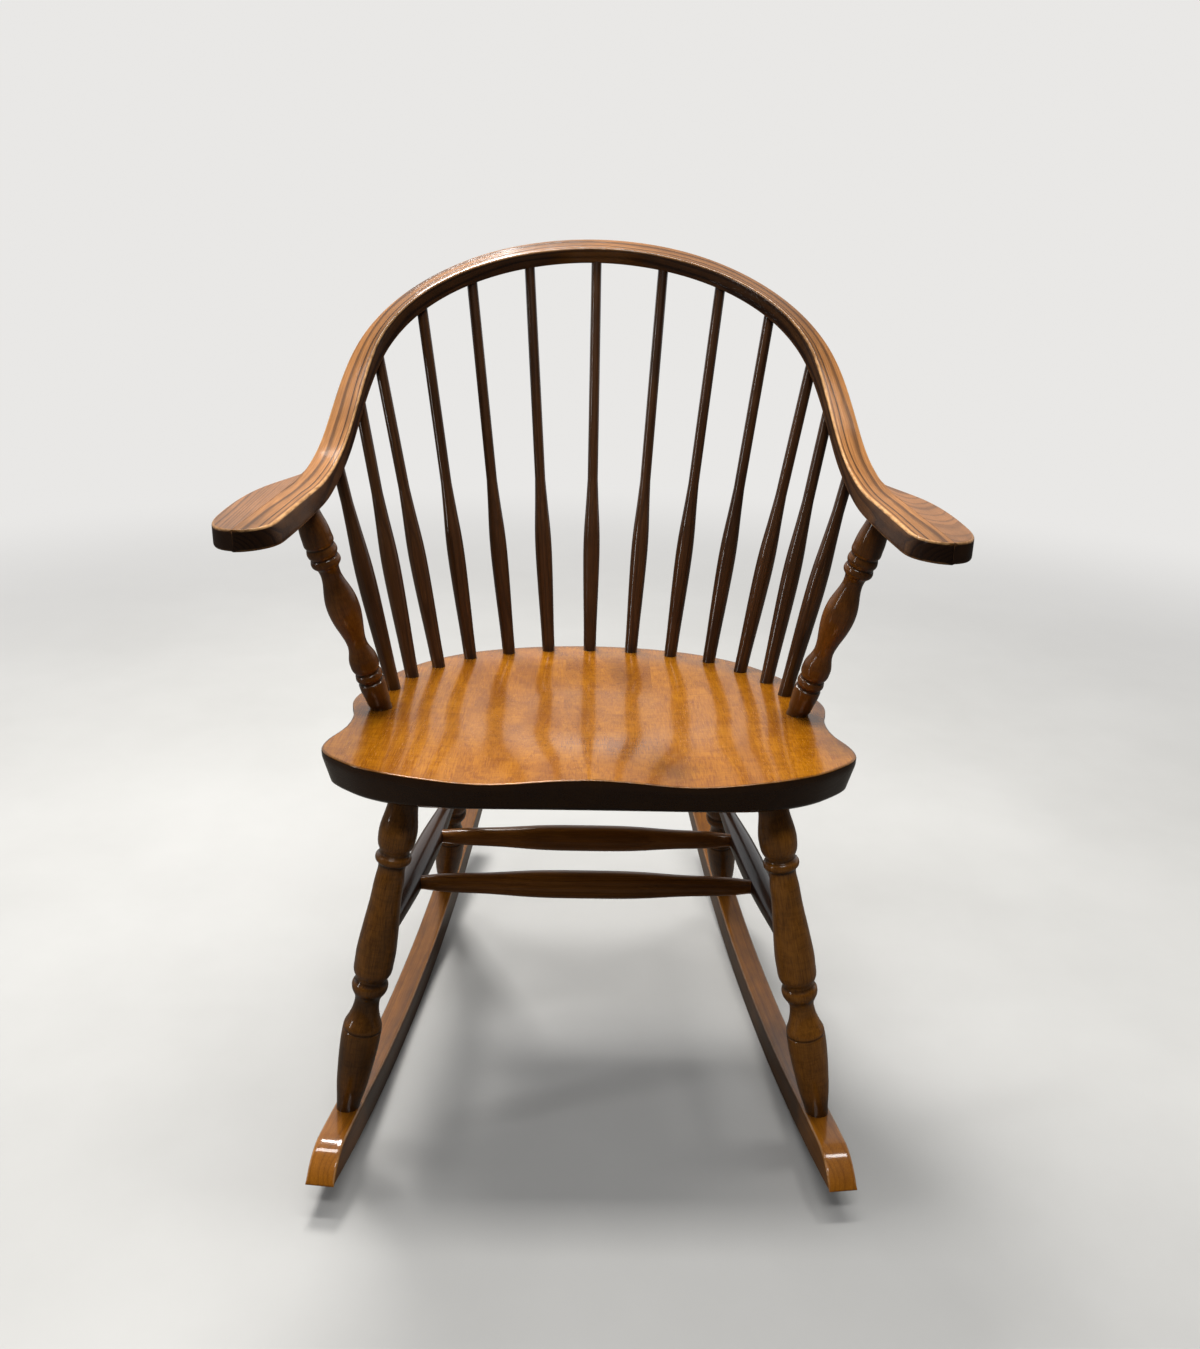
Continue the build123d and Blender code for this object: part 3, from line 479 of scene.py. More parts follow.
def arm_centre(y):
    return V(302.2 - 0.066 * (y - 20), y, 680.0 + 0.054 * (y - 20))


ARM_T = unit(V(-0.066, 1, 0.054))
ARM_N = unit(V(0, 0, 1) - ARM_T * ARM_T[2])
HAND_END = [(319.2, -12.1), (312.0, -11.7), (304.5, -9.3), (297.5, -4.2), (292.0, 3.2), (288.9, 12.0), (287.4, 21.5), (286.6, 34.0)]
LEAN_Y = [-12, 15, 42, 69, 96, 123, 150, 180, 215, 250, 290]
LEAN = [5.2, 5.8, 6.6, 7.0, 6.6, 5.6, 4.4, 3.0, 1.3, 0.4, 0.0]


def rounded(lo, hi, half_t, r_lo, r_hi, n=5, flats=6):
    """Section ring of a bar: local x from lo to hi, local y +-half_t. Returns points, wear of each corner."""
    pts, wear = [], []
    # corners in order: top outer, top inner, bottom inner, bottom outer. x runs to the inner side
    corners = [(lo + r_lo, half_t - r_lo, r_lo, 180, 90), (hi - r_hi, half_t - r_hi, r_hi, 90, 0), (hi - r_hi, -half_t + r_hi, r_hi, 0, -90), (lo + r_lo, -half_t + r_lo, r_lo, -90, -180)]
    wears = (0.8, 1.0, 0.35, 0.2)
    for k, (cx, cy, r, a0, a1) in enumerate(corners):
        for i in range(n + 1):
            a = math.radians(a0 + (a1 - a0) * i / n)
            pts.append((cx + r * math.cos(a), cy + r * math.sin(a)))
            wear.append(wears[k] * math.sin(math.pi * i / n) ** 0.7)
        nx = corners[(k + 1) % 4]
        a = math.radians(nx[3])
        q = (nx[0] + nx[2] * math.cos(a), nx[1] + nx[2] * math.sin(a))
        p0 = pts[-1]
        for i in range(1, flats):
            u = i / flats
            pts.append((p0[0] + (q[0] - p0[0]) * u, p0[1] + (q[1] - p0[1]) * u))
            wear.append(0.0)
    return np.array(pts), np.array(wear)


def make_bow():
    right = [V(*p) for p, _ in STATIONS]
    right_n = [unit(V(*n)) for _, n in STATIONS]
    right_n[0] = ARM_N
    arm_ys = [-12.0, 15.0, 42.0, 69.0, 96.0, 123.0]
    pts = [arm_centre(y) for y in arm_ys] + right
    nrm = [ARM_N] * len(arm_ys) + right_n
    mir = V(-1, 1, 1)
    pts = pts + [p * mir for p in reversed(pts[:-1])]
    nrm = nrm + [q * mir for q in reversed(nrm[:-1])]
    length, f = spline(pts)
    t = np.concatenate([[0], np.cumsum(np.linalg.norm(np.diff(pts, axis=0), axis=1))])
    # normals interpolated on the same parameter
    _, fn = spline_on(t, np.array(nrm))
    arm_end = (34.0 + 12.0) / ARM_T[1]
    us = np.concatenate([np.linspace(arm_end, 140, 40), np.linspace(143, length / 2, 150)])
    us = np.concatenate([us, length - us[::-1][1:]])
    c = f(us)
    d = (f(us + 0.5) - f(us - 0.5))
    d /= np.linalg.norm(d, axis=1)[:, None]
    nn = fn(us)
    nn -= d * np.sum(nn * d, 1)[:, None]
    nn /= np.linalg.norm(nn, axis=1)[:, None]
    xx = np.cross(nn, d)  # to the inner side
    arc = np.concatenate([[0], np.cumsum(np.linalg.norm(np.diff(c, axis=0), axis=1))])
    arc -= arc[-1] / 2
    half_t = BOW_T / 2
    m = Mesh()

    def shade(ring, wear, lo, hi, y, x, z, front):
        """Wear and darkening over one section: painted shade on the inner side and underside, a darker outer side,
        rubbed top.
        """
        free = float(smoothstep(186, 203, y))  # 0 along the glued hand pad
        wear = np.where(ring[:, 0] < (lo + hi) / 2, wear * free, wear)
        inner_side = smoothstep(hi - 1.2, hi - 0.2, ring[:, 0]) * smoothstep(half_t + 0.1, half_t - 2.2, ring[:, 1])
        under = smoothstep(-half_t + 1.6, -half_t + 0.4, ring[:, 1])
        outer = smoothstep(lo + 1.4, lo + 0.2, ring[:, 0]) * smoothstep(half_t + 0.1, half_t - 2.4, ring[:, 1])
        # painted shade: the inner side, more towards the front end of the arm, and the underside are darkened
        tone = np.maximum(np.maximum(inner_side * (0.84 + 0.14 * front), under * 0.92), outer * 0.45 * free)
        tone = np.maximum(tone, (0.12 + 0.20 * float(smoothstep(90, 0, y))) * (1 - float(smoothstep(150, 230, y))) * smoothstep(0.0, half_t, ring[:, 1]))
        shoulder = math.exp(-(((abs(x) - 255) / 26.0) ** 2)) * float(smoothstep(770, 800, z)) * 0.35
        return wear * 0.85, np.maximum(tone, shoulder * smoothstep(-8, 14, ring[:, 0]))

    def fan(side):
        """The rounded end of one arm, from the glue line at its front to the straight bar."""
        _, bend = spline(HAND_END)
        span_length = spline(HAND_END)[0]
        out = []
        k_all = 46
        for k in range(k_all):
            u = k / k_all
            b = bend(span_length * (0.004 + 0.996 * u))[0]
            ya = -12.05 + 46.05 * u**1.7
            a = V(302.2 - 0.066 * (ya - 20) + BOW_W / 2, ya)
            w = max(0.3, float(np.linalg.norm(b - a)))
            ring, wear = rounded(0, w, half_t, 0.3, min(2.6, w * 0.42))
            proud = np.interp(b[1], LEAN_Y, LEAN) * float(smoothstep(0.18, 0.72, u))
            wear, tone = shade(ring, wear, 0, w, b[1], 300.0, 680.0, 1.0 - float(smoothstep(0.45, 0.85, u)))
            local = ring[:, 0] + proud * np.clip(ring[:, 0] / w, 0, 1) * (half_t - ring[:, 1]) / BOW_T
            xy = a + local[:, None] * (b - a) / w
            y = xy[:, 1] - ring[:, 1] * 0.054
            p = np.column_stack([xy[:, 0] * side, y, 680.0 + 0.054 * (xy[:, 1] - 20) + ring[:, 1] * 0.9985])
            across = 302.2 - 0.066 * (xy[:, 1] - 20) - xy[:, 0]
            along_bar = arc[0] - (34.0 - xy[:, 1]) / ARM_T[1]
            g = np.column_stack([across + 21.0, ring[:, 1] + 16.0, along_bar if side > 0 else -along_bar])
            out.append(m.add(p, g, wear, tone))
        return out

    rings = fan(1)
    for k in range(len(us)):
        y = c[k][1]
        lo, hi = -BOW_W / 2, BOW_W / 2
        free = float(smoothstep(186, 203, y))
        ring, wear = rounded(lo, hi, half_t, 0.3 + 2.3 * free, 2.6)
        wear, tone = shade(ring, wear, lo, hi, y, c[k][0], c[k][2], 0.0)
        local = ring[:, 0] + np.interp(y, LEAN_Y, LEAN) * (ring[:, 0] - lo) / BOW_W * (half_t - ring[:, 1]) / BOW_T
        p = c[k] + local[:, None] * xx[k] + ring[:, 1:] * nn[k]
        # wood coordinates unrolled along the bent bar
        g = np.column_stack([local + 21.0, ring[:, 1] + 16.0, np.full(len(ring), arc[k])])
        bend = math.exp(-(((c[k][2] - 735) / 42.0) ** 2)) * (1.0 if c[k][0] < 0 else 0.5)
        crest = float(smoothstep(790, 880, c[k][2]))
        arris = np.exp(-(((ring[:, 0] - hi + 1.6) / 3.0) ** 2)) * smoothstep(0, half_t, ring[:, 1])
        gloss = (1 - 0.95 * bend) * (1 + crest * (1.8 + 2.2 * arris))
        rings.append(m.add(p, g, wear * (1 - 0.75 * crest), np.clip(tone + 0.30 * crest * (1 - tone), 0, 1), gloss))
    rings += fan(-1)[::-1]
    m.loops(rings)
    m.cap(rings[0], flip=True)
    m.cap(rings[-1])
    m.build("bow", "arm_bow", MAT["bow"])


def spline_on(t, values):
    """Cubic spline of values over given parameters t."""
    n = len(t)
    h = np.diff(t)
    a = np.zeros((n, n))
    b = np.zeros((n, values.shape[1]))
    a[0, 0] = a[-1, -1] = 1
    for i in range(1, n - 1):
        a[i, i - 1], a[i, i], a[i, i + 1] = h[i - 1], 2 * (h[i - 1] + h[i]), h[i]
        b[i] = 6 * ((values[i + 1] - values[i]) / h[i] - (values[i] - values[i - 1]) / h[i - 1])
    m = np.linalg.solve(a, b)

    def f(u):
        u = np.atleast_1d(u)
        i = np.clip(np.searchsorted(t, u, side="right") - 1, 0, n - 2)
        dd = (u - t[i])[:, None]
        hi = h[i][:, None]
        return values[i] + dd * ((values[i + 1] - values[i]) / hi - hi * (2 * m[i] + m[i + 1]) / 6) + dd * dd * m[i] / 2 + dd**3 * (m[i + 1] - m[i]) / (6 * hi)

    return t[-1], f


make_bow()

# ------------------------------------------------------------------ hand pads
PAD = [(309.6, 199.0), (319.5, 176.0), (334.5, 140.0), (344.5, 92.0), (347.0, 41.0), (343.5, 9.0), (334.0, -6.5), (319.4, -12.0)]


def make_pad(side, hand):
    length, f = spline(PAD)
    n = 130
    u = length * (1 - (1 - np.linspace(0, 1, n)) ** 1.25)
    out = f(u)
    ty = np.linspace(0, 1, n)
    yin = 199.0 + (-12.0 - 199.0) * (1 - (1 - ty) ** 1.1)
    xin = 302.2 - 0.066 * (yin - 20) + BOW_W / 2 + 0.12 + smoothstep(150, 200, yin) * 0.9
    m = Mesh()
    rings = []
    off = rng.uniform(-1, 1, 3) * V(4, 3, 300)
    for k in range(n):
        a, b = V(xin[k], yin[k]), out[k]
        w = max(0.3, float(np.linalg.norm(b - a)))
        r_out = min(2.6, w * 0.45)
        r_in = min(0.3, w * 0.3)
        ring, wear = rounded(0, w, BOW_T / 2, r_in, r_out)
        dirn = (b - a) / w if w > 0.31 else V(1, 0)
        xy = a + ring[:, :1] * dirn
        mid_z = 680.0 + 0.054 * (xy[:, 1] - 20)
        z = mid_z + ring[:, 1] * 0.9985
        y = xy[:, 1] - ring[:, 1] * 0.054
        p = np.column_stack([xy[:, 0] * side, y, z])
        if side < 0:
            g = np.column_stack([((347 - xy[:, 0]) + 14 + off[0]) * 2.3, (ring[:, 1] + 26 + off[1]) * 2.3, xy[:, 1] + off[2]])
        else:
            g = np.column_stack([(xy[:, 0] - 327.0 + 0.05 * (xy[:, 1] - 80)) * 2.2, 12.0 + (ring[:, 1] + 10.5) * 0.6 + 0.52 * (178 - xy[:, 1]), xy[:, 1] + off[2]])
        # painted shade: the outer and front faces and the underside darken towards near-black; the top darkens towards
        # the front end
        outer = smoothstep(w - 1.6, w - 0.2, ring[:, 0]) * smoothstep(BOW_T / 2 + 0.1, BOW_T / 2 - 2.6, ring[:, 1])
        under = smoothstep(-BOW_T / 2 + 1.6, -BOW_T / 2 + 0.4, ring[:, 1])
        tone = np.maximum(np.maximum(outer, under) * 0.95, 0.14 + 0.26 * smoothstep(70, -6, xy[:, 1]))
        rings.append(m.add(p, g, wear * 0.45 * (ring[:, 0] > w * 0.5), tone))
    m.loops(rings)
    m.cap(rings[0], flip=True)
    m.cap(rings[-1])
    m.build("hand_pad_%s_wood" % hand, "hand_pad_" + hand, MAT["hand_pad" if side < 0 else "hand_pad_arched"])


make_pad(-1, "left")
make_pad(1, "right")


# ------------------------------------------------------------------ turned pieces
def lathe(name, node, start, end, runs, material, segs=56, step=2.0, tone=None, wear=None, flat0=True):
    """runs: smooth runs of (distance from start, radius)."""
    axis = unit(end - start)
    base = V(0, 0, 1) if abs(axis[2]) < 0.9 else V(1, 0, 0)
    x = unit(base - axis * base.dot(axis))
    y = np.cross(axis, x)
    s_all, r_all = [], []
    for run in runs:
        if len(run) == 2:
            (s0, r0), (s1, r1) = run
            k = max(2, int(abs(s1 - s0) / 4) + 1)
            ss, rr = np.linspace(s0, s1, k), np.linspace(r0, r1, k)
        else:
            length, f = spline([(r, s) for s, r in run])
            k = max(8, int(length / step), 5 * (len(run) - 1))
            q = f(np.linspace(0, length, k))
            ss, rr = q[:, 1], q[:, 0]
        for s, r in zip(ss, rr):
            if s_all and abs(s - s_all[-1]) < 1e-6 and abs(r - r_all[-1]) < 1e-6:
                continue
            s_all.append(float(s))
            r_all.append(float(r))
    m = Mesh()
    off = rng.uniform(-1, 1, 3) * V(9, 9, 800)
    pith = rng.uniform(18, 34)
    ang0 = rng.uniform(0, 2 * math.pi)
    phi = np.arange(segs) * 2 * math.pi / segs
    rings = []
    for s, r in zip(s_all, r_all):
        px, py = r * np.cos(phi), r * np.sin(phi)
        p = start + axis * s + px[:, None] * x + py[:, None] * y
        ca, sa = math.cos(ang0), math.sin(ang0)
        g = np.column_stack([px * ca - py * sa + pith, px * sa + py * ca + off[1] * 0.3, np.full(segs, s + off[2])])
        rings.append(m.add(p, g, 0.0 if wear is None else wear(s), 0.0 if tone is None else tone(s)))
    m.loops(rings)
    m.cap(rings[0], flip=True)
    m.cap(rings[-1])
    return m.build(name, node, material)


SPINDLE_TOPS = [
    (0, 540.6, 934.6), (86.9, 524.8, 926.7), (158.1, 488.1, 906.5), (215.9, 443.2, 875.6), (262.8, 389.9, 825.1),
    (277.9, 342.2, 780.1), (287.1, 255.9, 714.2),
]
for k in range(-6, 7):
    side = 1 if k >= 0 else -1
    fx, fy = SPINDLE_FEET[abs(k)]
    tx, ty, tz = SPINDLE_TOPS[abs(k)]
    foot, top = V(side * fx, fy, float(seat_top(fx, fy))), V(side * tx, ty, tz)
    ln = float(np.linalg.norm(top - foot))
    start = foot - unit(top - foot) * 6
    lathe(
        "spindle_%02d_wood" % (k + 7), "spindle_%02d" % (k + 7), start, top,
        [
            [(0, 8.0), (9, 8.0)],
            [(9, 8.0), (31, 8.3), (68, 9.3), (106, 10.25), (139, 10.6), (166, 9.9), (190, 8.5), (211, 7.4), (228, 6.6)],
            [(228, 6.6), (ln + 6 + 2, 6.6)],
        ],
        MAT["spindle"], segs=36, step=4.0,
        tone=lambda s, ln=ln: 0.55 * math.exp(-(((s - 6) / 9.0) ** 2)) + 0.5 * math.exp(-(((s - ln) / 14.0) ** 2)),
    )

POST_PROFILE = [
    [(0.024, 11.6), (0.036, 12.5), (0.055, 12.9), (0.09, 13.7), (0.125, 14.3), (0.146, 14.2)],
    [(0.146, 14.2), (0.152, 12.6), (0.158, 12.4), (0.163, 13.0)],
    [(0.163, 13.0), (0.170, 14.3), (0.183, 14.6), (0.195, 14.0)],
    [(0.195, 14.0), (0.201, 12.7), (0.208, 12.7), (0.214, 13.8)],
    [(0.214, 13.8), (0.225, 14.9), (0.248, 15.4), (0.275, 14.9), (0.302, 12.9), (0.335, 10.8), (0.365, 10.7), (0.42, 13.0), (0.48, 15.9), (0.535, 17.0), (0.58, 16.3), (0.63, 13.7), (0.67, 11.3), (0.70, 10.4), (0.722, 10.7), (0.738, 12.0), (0.745, 13.6)],
    [(0.745, 13.6), (0.755, 15.2), (0.767, 15.5), (0.781, 14.6)],
    [(0.781, 14.6), (0.786, 13.7), (0.792, 14.2)],
    [(0.792, 14.2), (0.804, 15.6), (0.818, 15.7), (0.832, 14.8)],
    [(0.832, 14.8), (0.838, 14.0), (0.845, 14.9), (0.868, 15.6), (0.90, 15.3), (0.945, 14.0), (0.98, 12.6), (1.0, 12.0)],
]
for side, hand in ((-1, "left"), (1, "right")):
    foot = V(side * 230.3, 181.8, float(seat_top(230.3, 181.8)))
    top = V(side * 287.8, 127.0, 675.4)
    ln = float(np.linalg.norm(top - foot))
    start = foot - unit(top - foot) * 6
    runs = [[(0, 11.6), (6 + 0.024 * ln, 11.6)]]
    runs += [[(6 + a * ln, r) for a, r in run] for run in POST_PROFILE]
    runs += [[(6 + ln, 12.0), (6 + ln + 1.5, 11.9)]]

    def tone(s, ln=ln):
        t = (s - 6) / ln
        v = 0.50 * float(smoothstep(0.48, 0.66, t)) + 0.42 * float(smoothstep(0.40, 0.27, t))
        for c, w, a in ((0.0, 0.09, 0.75), (0.155, 0.011, 0.9), (0.205, 0.011, 0.9), (0.24, 0.03, 0.5), (0.70, 0.03, 0.5), (0.742, 0.010, 0.7), (0.787, 0.009, 0.9), (0.838, 0.009, 0.9), (1.0, 0.07, 0.7)):
            v = max(v, a * math.exp(-(((t - c) / w) ** 2)))
        return v

    lathe("arm_post_%s_wood" % hand, "arm_post_" + hand, start, top, runs, MAT["arm_post"], segs=56, step=1.6, tone=tone)

# ------------------------------------------------------------------ rockers
R, CONTACT = 1350.0, 234.4
FOOT_F, FOOT_R = V(251.4, 18.0), V(200.5, 472.0)
RUN = unit(FOOT_R - FOOT_F)


def rocker_u(y):
    return (y - FOOT_F[1]) / RUN[1]


def rocker_low(y):
    u = rocker_u(y) - rocker_u(CONTACT)
    return R - np.sqrt(R**2 - u * u)


ROCKER_H = [(-25, 31.0), (18, 34.0), (110, 33.5), (250, 33.0), (380, 33.5), (472, 34.0), (570, 31.5), (652, 26.5)]
NOSE_Y, TAIL_Y = -64.0, 664.0


def bezier(p, n):
    t = np.linspace(0, 1, n)[:, None]
    p = [V(*q) for q in p]
    return (1 - t) ** 3 * p[0] + 3 * (1 - t) ** 2 * t * p[1] + 3 * (1 - t) * t * t * p[2] + t**3 * p[3]


def make_rocker(side, hand):
    tops = [(rocker_u(y), float(rocker_low(y)) + h) for y, h in ROCKER_H]
    nose = (rocker_u(NOSE_Y), float(rocker_low(NOSE_Y)))
    tail = (rocker_u(TAIL_Y), float(rocker_low(TAIL_Y)))
    length, f = spline(tops)
    top = f(np.linspace(0, length, 90))
    front = bezier([tops[0], (tops[0][0] - 17, tops[0][1] - 0.6), (nose[0] + 9.5, nose[1] + 14), nose], 30)[::-1]
    # one outline: front face from the nose tip up, top to the tail, round end down
    end = bezier([tops[-1], (tops[-1][0] + 6, tops[-1][1] - 0.4), (tail[0] + 2.5, tail[1] + 11), tail], 16)
    upper = np.vstack([front, top[1:], end[1:]])
    s = np.concatenate([[0], np.cumsum(np.linalg.norm(np.diff(upper, axis=0), axis=1))])
    # the bottom arc, sampled so that each upper point has a partner
    frac = (upper[:, 0] - upper[0, 0]) / (upper[-1, 0] - upper[0, 0])
    frac = np.maximum.accumulate(np.clip(frac, 0, 1))
    ulow = nose[0] + (tail[0] - nose[0]) * (0.985 * frac + 0.015 * s / s[-1])
    uc = rocker_u(CONTACT)
    low = np.column_stack([ulow, R - np.sqrt(R**2 - (ulow - uc) ** 2)])
    run = V(side * RUN[0], RUN[1], 0)
    across = np.cross(run, V(0, 0, 1))
    if across[0] * side < 0:
        across = -across  # outward
    o = V(side * FOOT_F[0], FOOT_F[1], 0)
    m = Mesh()
    rings = []
    off = rng.uniform(-1, 1, 3) * V(5, 5, 400)
    for k in range(len(upper)):
        a, b = low[k], upper[k]
        h = max(0.4, float(np.linalg.norm(b - a)))
        d = (b - a) / h if h > 0.41 else V(0, 1)
        rr = min(2.4, h * 0.45)
        # ring in (across, up) with rounded corners, mapped onto the slanting section
        ring, wear = rounded(-14.5, 14.5, h / 2, min(rr, 2.4), min(rr, 2.4))
        uz = (a + b) / 2 + ring[:, 1:] * d
        p = o + uz[:, :1] * run + ring[:, :1] * across + uz[:, 1:] * V(0, 0, 1)
        g = np.column_stack([ring[:, 0] + 24 + off[0], uz[:, 1] - 14 + off[1] - low[k][1], uz[:, 0] + off[2]])
        # painted shade towards the bottom edge, over the floor
        painted_low_shade = smoothstep(h / 2 - 1, -h / 2, ring[:, 1]) * 0.35
        foot_tone = 0.0
        for fu in (rocker_u(26.0), rocker_u(472.0)):
            foot_tone = max(foot_tone, 0.5 * math.exp(-(((b[0] - fu) / 26.0) ** 2)))
        # the nose is left bare; behind the front foot the rocker is darker, and its sides are darker still as painted
        # shade
        back_tone = 0.56 * float(smoothstep(rocker_u(26.0) - 8, rocker_u(26.0) + 26, b[0]))
        painted_side_shade = (0.26 + back_tone) * smoothstep(11.5, 14.2, np.abs(ring[:, 0]))
        tone = np.maximum(np.maximum(painted_low_shade, foot_tone), np.maximum(back_tone, painted_side_shade))
        rings.append(m.add(p, g, wear * (0.5 - 0.5 * back_tone), tone))
    m.loops(rings)
    m.cap(rings[0], flip=True)
    m.cap(rings[-1])
    m.build("rocker_%s_wood" % hand, "rocker_" + hand, MAT["rocker"], sharp=50)


make_rocker(-1, "left")
make_rocker(1, "right")

# ------------------------------------------------------------------ legs
LEG_PROFILE = [
    [(-6, 11.6), (0, 11.9), (18, 14.5), (31, 16.5), (44, 17.8), (57, 19.0), (70, 19.9), (83, 20.4), (93, 20.3)],
    [(93, 20.3), (94.5, 19.5), (95.8, 20.1)],
    [(95.8, 20.1), (98.5, 19.8), (102, 18.5), (109.5, 15.7), (116, 13.9), (122.5, 13.0), (129, 13.2), (134, 15.2)],
    [(134, 15.2), (138, 17.6), (142.5, 18.8), (146.5, 18.4), (149, 17.0)],
    [(149, 17.0), (150.5, 16.2), (157, 18.6), (168, 20.3), (178, 20.6), (196, 19.8), (220, 17.8), (245, 15.8), (266, 14.7), (279.5, 14.4), (281.5, 15.0)],
    [(281.5, 15.0), (283.5, 17.6), (287, 18.6), (290.5, 17.4), (292, 15.4)],
    [(292, 15.4), (293.5, 15.2), (299, 17.4), (307, 19.3), (317, 19.6), (328, 18.2), (338, 16.4), (348, 15.4), (364, 15.1), (366, 15.1)],
]
LEG_LINES = {}
for side, hand in ((-1, "left"), (1, "right")):
    for part, foot, top in (("front", (250.5, 26.0), (184.7, 62.2)), ("rear", (200.5, 472.0), (158.0, 346.0))):
        a = V(side * foot[0], foot[1], float(rocker_low(foot[1])) + 34.0)
        b = V(side * top[0], top[1], float(seat_flat(top[1])) - 39.0 / math.cos(SEAT_TILT))
        LEG_LINES[part, hand] = (a, b)
        ln = float(np.linalg.norm(b - a))
        d = unit(b - a)
        runs = [[(s + 6, r) for s, r in run if s <= ln + 1.5] for run in LEG_PROFILE]
        runs[-1].append((ln + 6 + 1.5, 15.1))
        runs = [r for r in runs if len(r) > 1]

        def tone(s, ln=ln):
            s = s - 6
            v = 0.62 * float(smoothstep(34, 0, s)) + 0.10
            for c, w, a in ((94.4, 1.6, 0.7), (124, 12, 0.30), (135, 2.5, 0.55), (150, 2.2, 0.8), (281, 2.2, 0.8), (293, 2.2, 0.8), (ln, 16, 0.65)):
                v = max(v, a * math.exp(-(((s - c) / w) ** 2)))
            return v

        lathe("leg_%s_%s_wood" % (part, hand), "leg_%s_%s" % (part, hand), a - d * 6, b, runs, MAT["leg_warm" if (part, hand) == ("front", "right") else "leg"], segs=64, step=1.7, tone=tone)

# ------------------------------------------------------------------ stretchers
SIDE = {}


def along(line, z):
    a, b = line
    return a + (b - a) * ((z - a[2]) / (b[2] - a[2]))


for hand in ("left", "right"):
    a, b = along(LEG_LINES["front", hand], 226.0), along(LEG_LINES["rear", hand], 226.0)
    SIDE[hand] = (a, b)
    d = unit(b - a)
    start, end = a + d * 4, b - d * 4
    total = float(np.linalg.norm(end - start))
    lathe(
        "side_stretcher_%s_wood" % hand, "side_stretcher_" + hand, start, end,
        [
            [(0, 8.4), (20, 8.4)],
            [(20, 8.4), (58, 10.6), (108, 13.7), (158, 15.4), (total - 158, 15.4), (total - 108, 13.7), (total - 58, 10.6), (total - 20, 8.4)],
            [(total - 20, 8.4), (total, 8.4)],
        ],
        MAT["side_stretcher"], segs=48, step=3.0,
    )
for y, name in ((181.0, "front"), (289.0, "rear")):
    ends = {}
    for hand in ("left", "right"):
        a, b = SIDE[hand]
        ends[hand] = a + (b - a) * ((y - a[1]) / (b[1] - a[1]))
    start = ends["left"] + V(8, 0, 0)
    end = ends["right"] - V(8, 0, 0)
    total = float(np.linalg.norm(end - start))
    lathe(
        "cross_stretcher_%s_wood" % name, "cross_stretcher_" + name, start, end,
        [
            [(0, 8.0), (8.3, 8.0)],
            [(8.3, 8.0), (20, 9.4), (total * 0.20, 11.9), (total * 0.33, 14.8), (total * 0.5, 15.8), (total * 0.67, 14.8), (total * 0.80, 11.9), (total - 20, 9.4), (total - 8.3, 8.0)],
            [(total - 8.3, 8.0), (total, 8.0)],
        ],
        MAT["cross_stretcher"], segs=48, step=3.0,
    )


# ------------------------------------------------------------------ floor
PALE = (0.815, 0.805, 0.79)


def make_floor():
    me = bpy.data.meshes.new("floor")
    s = 30.0
    me.from_pydata([(-s, -s, 0), (s, -s, 0), (s, s, 0), (-s, s, 0)], [], [(0, 1, 2, 3)])
    ob = bpy.data.objects.new("floor", me)
    bpy.context.collection.objects.link(ob)
    n = Net("floor_plain")
    co = n.node("ShaderNodeTexCoord").outputs["Object"]
    a = n.noise(co, scale=1.6, detail=6.0, rough=0.6)
    c = n.ramp(a, [(0.3, (0.50, 0.495, 0.48)), (0.7, (0.565, 0.56, 0.545))])
    d = n.vmath("LENGTH", co)
    far = n.span(d, 0.9, 3.4, 0.0, 1.0, smooth=True)
    seen = n.node("ShaderNodeLightPath").outputs["Is Camera Ray"]
    c = n.mix(seen, (0.10, 0.095, 0.085), c)
    s = n.node("ShaderNodeBsdfPrincipled", {"Base Color": c, "Roughness": 0.75, "Specular IOR Level": 0.1})
    e = n.node("ShaderNodeEmission", {"Color": PALE, "Strength": 1.0})
    m = n.node("ShaderNodeMixShader", {0: n.math("MULTIPLY", far, seen), 1: s.outputs[0], 2: e.outputs[0]})
    out = n.node("ShaderNodeOutputMaterial")
    n.t.links.new(m.outputs[0], out.inputs[0])
    me.materials.append(n.mat)


make_floor()

# ------------------------------------------------------------------ light
world = bpy.data.worlds.new("studio")
bpy.context.scene.world = world
world.use_nodes = True
w = Net.__new__(Net)
w.t = world.node_tree
w.t.nodes.clear()
sky = w.node("ShaderNodeTexCoord").outputs["Generated"]
_, sy, sz = w.xyz(sky)
# bright pale wall behind the chair, a darker room in front of it
wall = w.span(sy, -0.10, 0.60, 0.03, 0.80, smooth=True)
high = w.span(sz, 0.35, 0.95, 0.0, 1.0, smooth=True)
level = w.math("ADD", w.math("MULTIPLY", wall, w.math("SUBTRACT", 1.0, high)), w.math("MULTIPLY", high, 0.16))
lit = w.node("ShaderNodeBackground", {"Color": (0.96, 0.98, 1.0), "Strength": level})
shown = w.node("ShaderNodeBackground", {"Color": PALE, "Strength": 1.0})
path = w.node("ShaderNodeLightPath")
both = w.node("ShaderNodeMixShader", {0: path.outputs["Is Camera Ray"], 1: lit.outputs[0], 2: shown.outputs[0]})
out_w = w.node("ShaderNodeOutputWorld")
w.t.links.new(both.outputs[0], out_w.inputs[0])


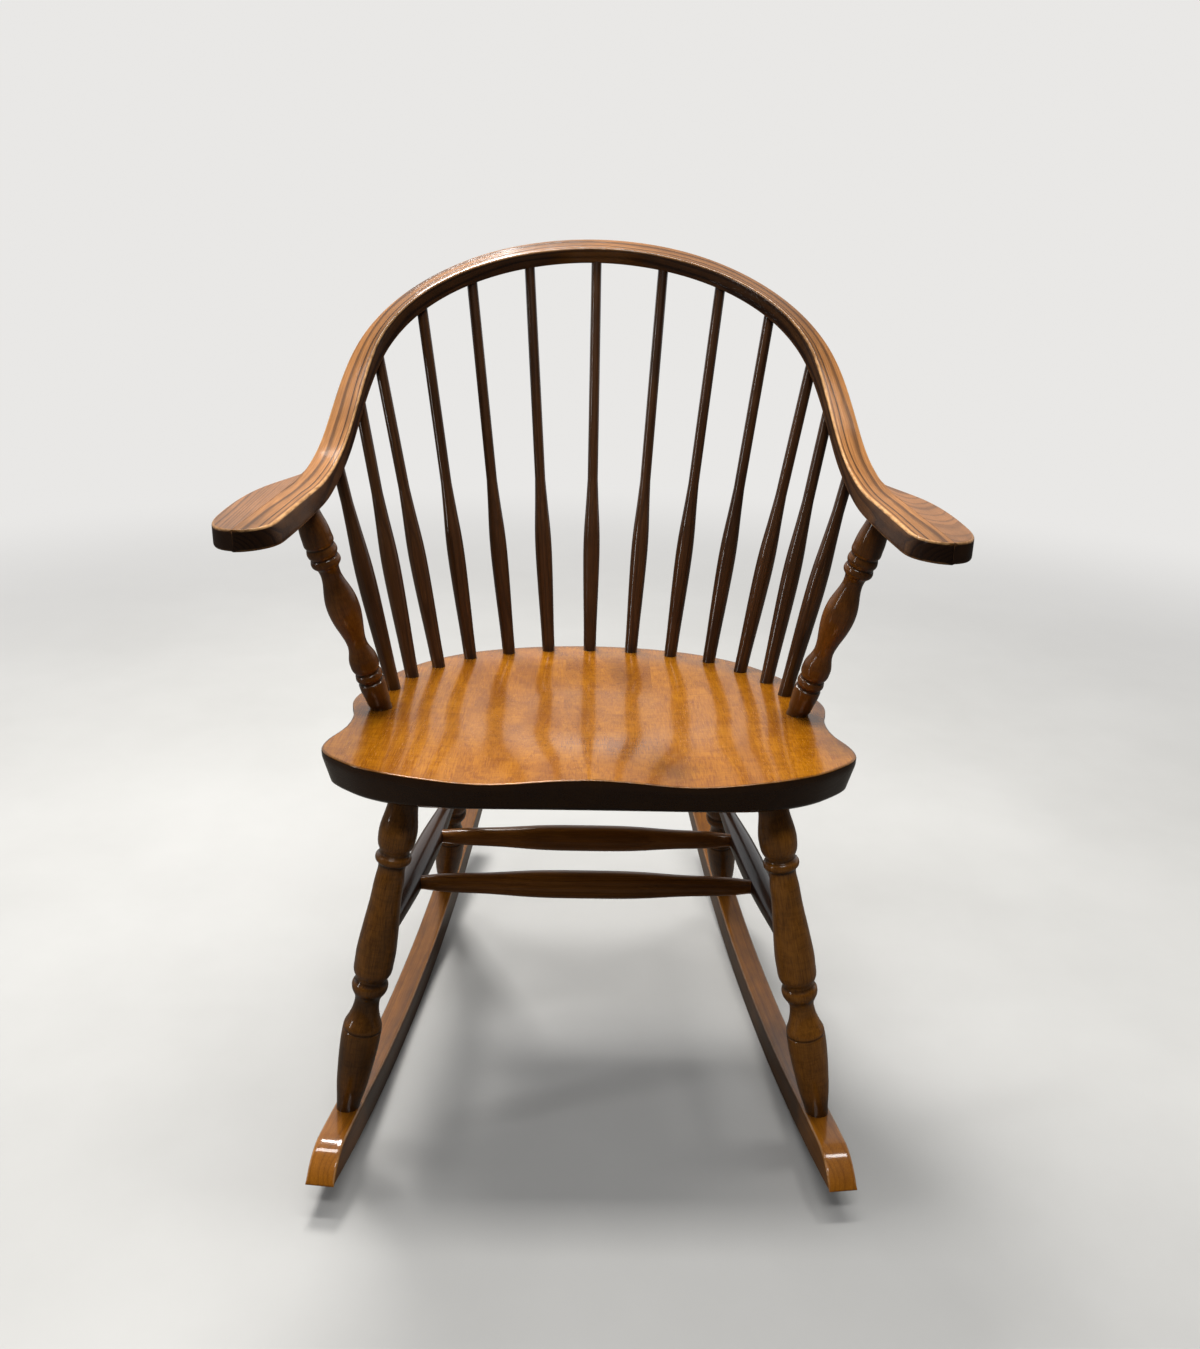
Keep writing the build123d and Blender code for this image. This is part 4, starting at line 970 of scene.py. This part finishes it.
def area(name, loc, target, size, power, color=(1, 1, 1), size_y=None):
    li = bpy.data.lights.new(name, "AREA")
    li.energy = power
    li.color = color
    li.size = size
    if size_y:
        li.shape = "RECTANGLE"
        li.size_y = size_y
    ob = bpy.data.objects.new(name, li)
    ob.location = loc
    ob.rotation_mode = "QUATERNION"
    ob.rotation_quaternion = (Vector(target) - Vector(loc)).to_track_quat("-Z", "Y")
    bpy.context.collection.objects.link(ob)
    return ob


area("key", (-0.55, 1.25, 2.7), (0.0, -0.05, 0.4), 0.75, 66, (1.0, 0.985, 0.96))
area("overhead", (0.0, 0.12, 2.9), (0, -0.1, 0.4), 2.6, 54, (1.0, 0.99, 0.97), size_y=0.40)
area("side", (-2.2, -0.9, 1.2), (0.0, 0.1, 0.6), 0.16, 8, (1.0, 1.0, 1.0), size_y=1.3)
area("strip", (0.0, -1.6, 2.6), (0, -0.2, 0.3), 1.2, 20, (1.0, 1.0, 1.0), size_y=0.34)

# ------------------------------------------------------------------ camera
W_PX, H_PX = 1200, 1349
yaw, pitch, roll = math.radians(0.83), math.radians(15.55), math.radians(-1.24)
F_PX, CX, CY = 1118.5, 600.0, 572.1
fwd = V(math.sin(yaw) * math.cos(pitch), math.cos(yaw) * math.cos(pitch), -math.sin(pitch))
rgt = V(math.cos(yaw), -math.sin(yaw), 0)
dwn = np.cross(fwd, rgt)
r2 = math.cos(roll) * rgt + math.sin(roll) * dwn
d2 = -math.sin(roll) * rgt + math.cos(roll) * dwn
cam_data = bpy.data.cameras.new("camera")
cam = bpy.data.objects.new("camera", cam_data)
bpy.context.collection.objects.link(cam)
cam_data.sensor_fit = "HORIZONTAL"
cam_data.sensor_width = 36.0
cam_data.lens = 36.0 * F_PX / W_PX
cam_data.shift_x = (CX - W_PX / 2) / W_PX * -1
cam_data.shift_y = (CY - H_PX / 2) / W_PX
rot = Matrix((tuple(r2), tuple(-d2), tuple(-fwd))).transposed().to_4x4()
loc = V(-8.7, -971.2 - SHIFT, 922.8) / 1000
cam.matrix_world = Matrix.Translation(Vector(loc)) @ rot
cam_data.clip_start, cam_data.clip_end = 0.05, 100
bpy.context.scene.camera = cam
bpy.context.scene.view_settings.view_transform = "Standard"
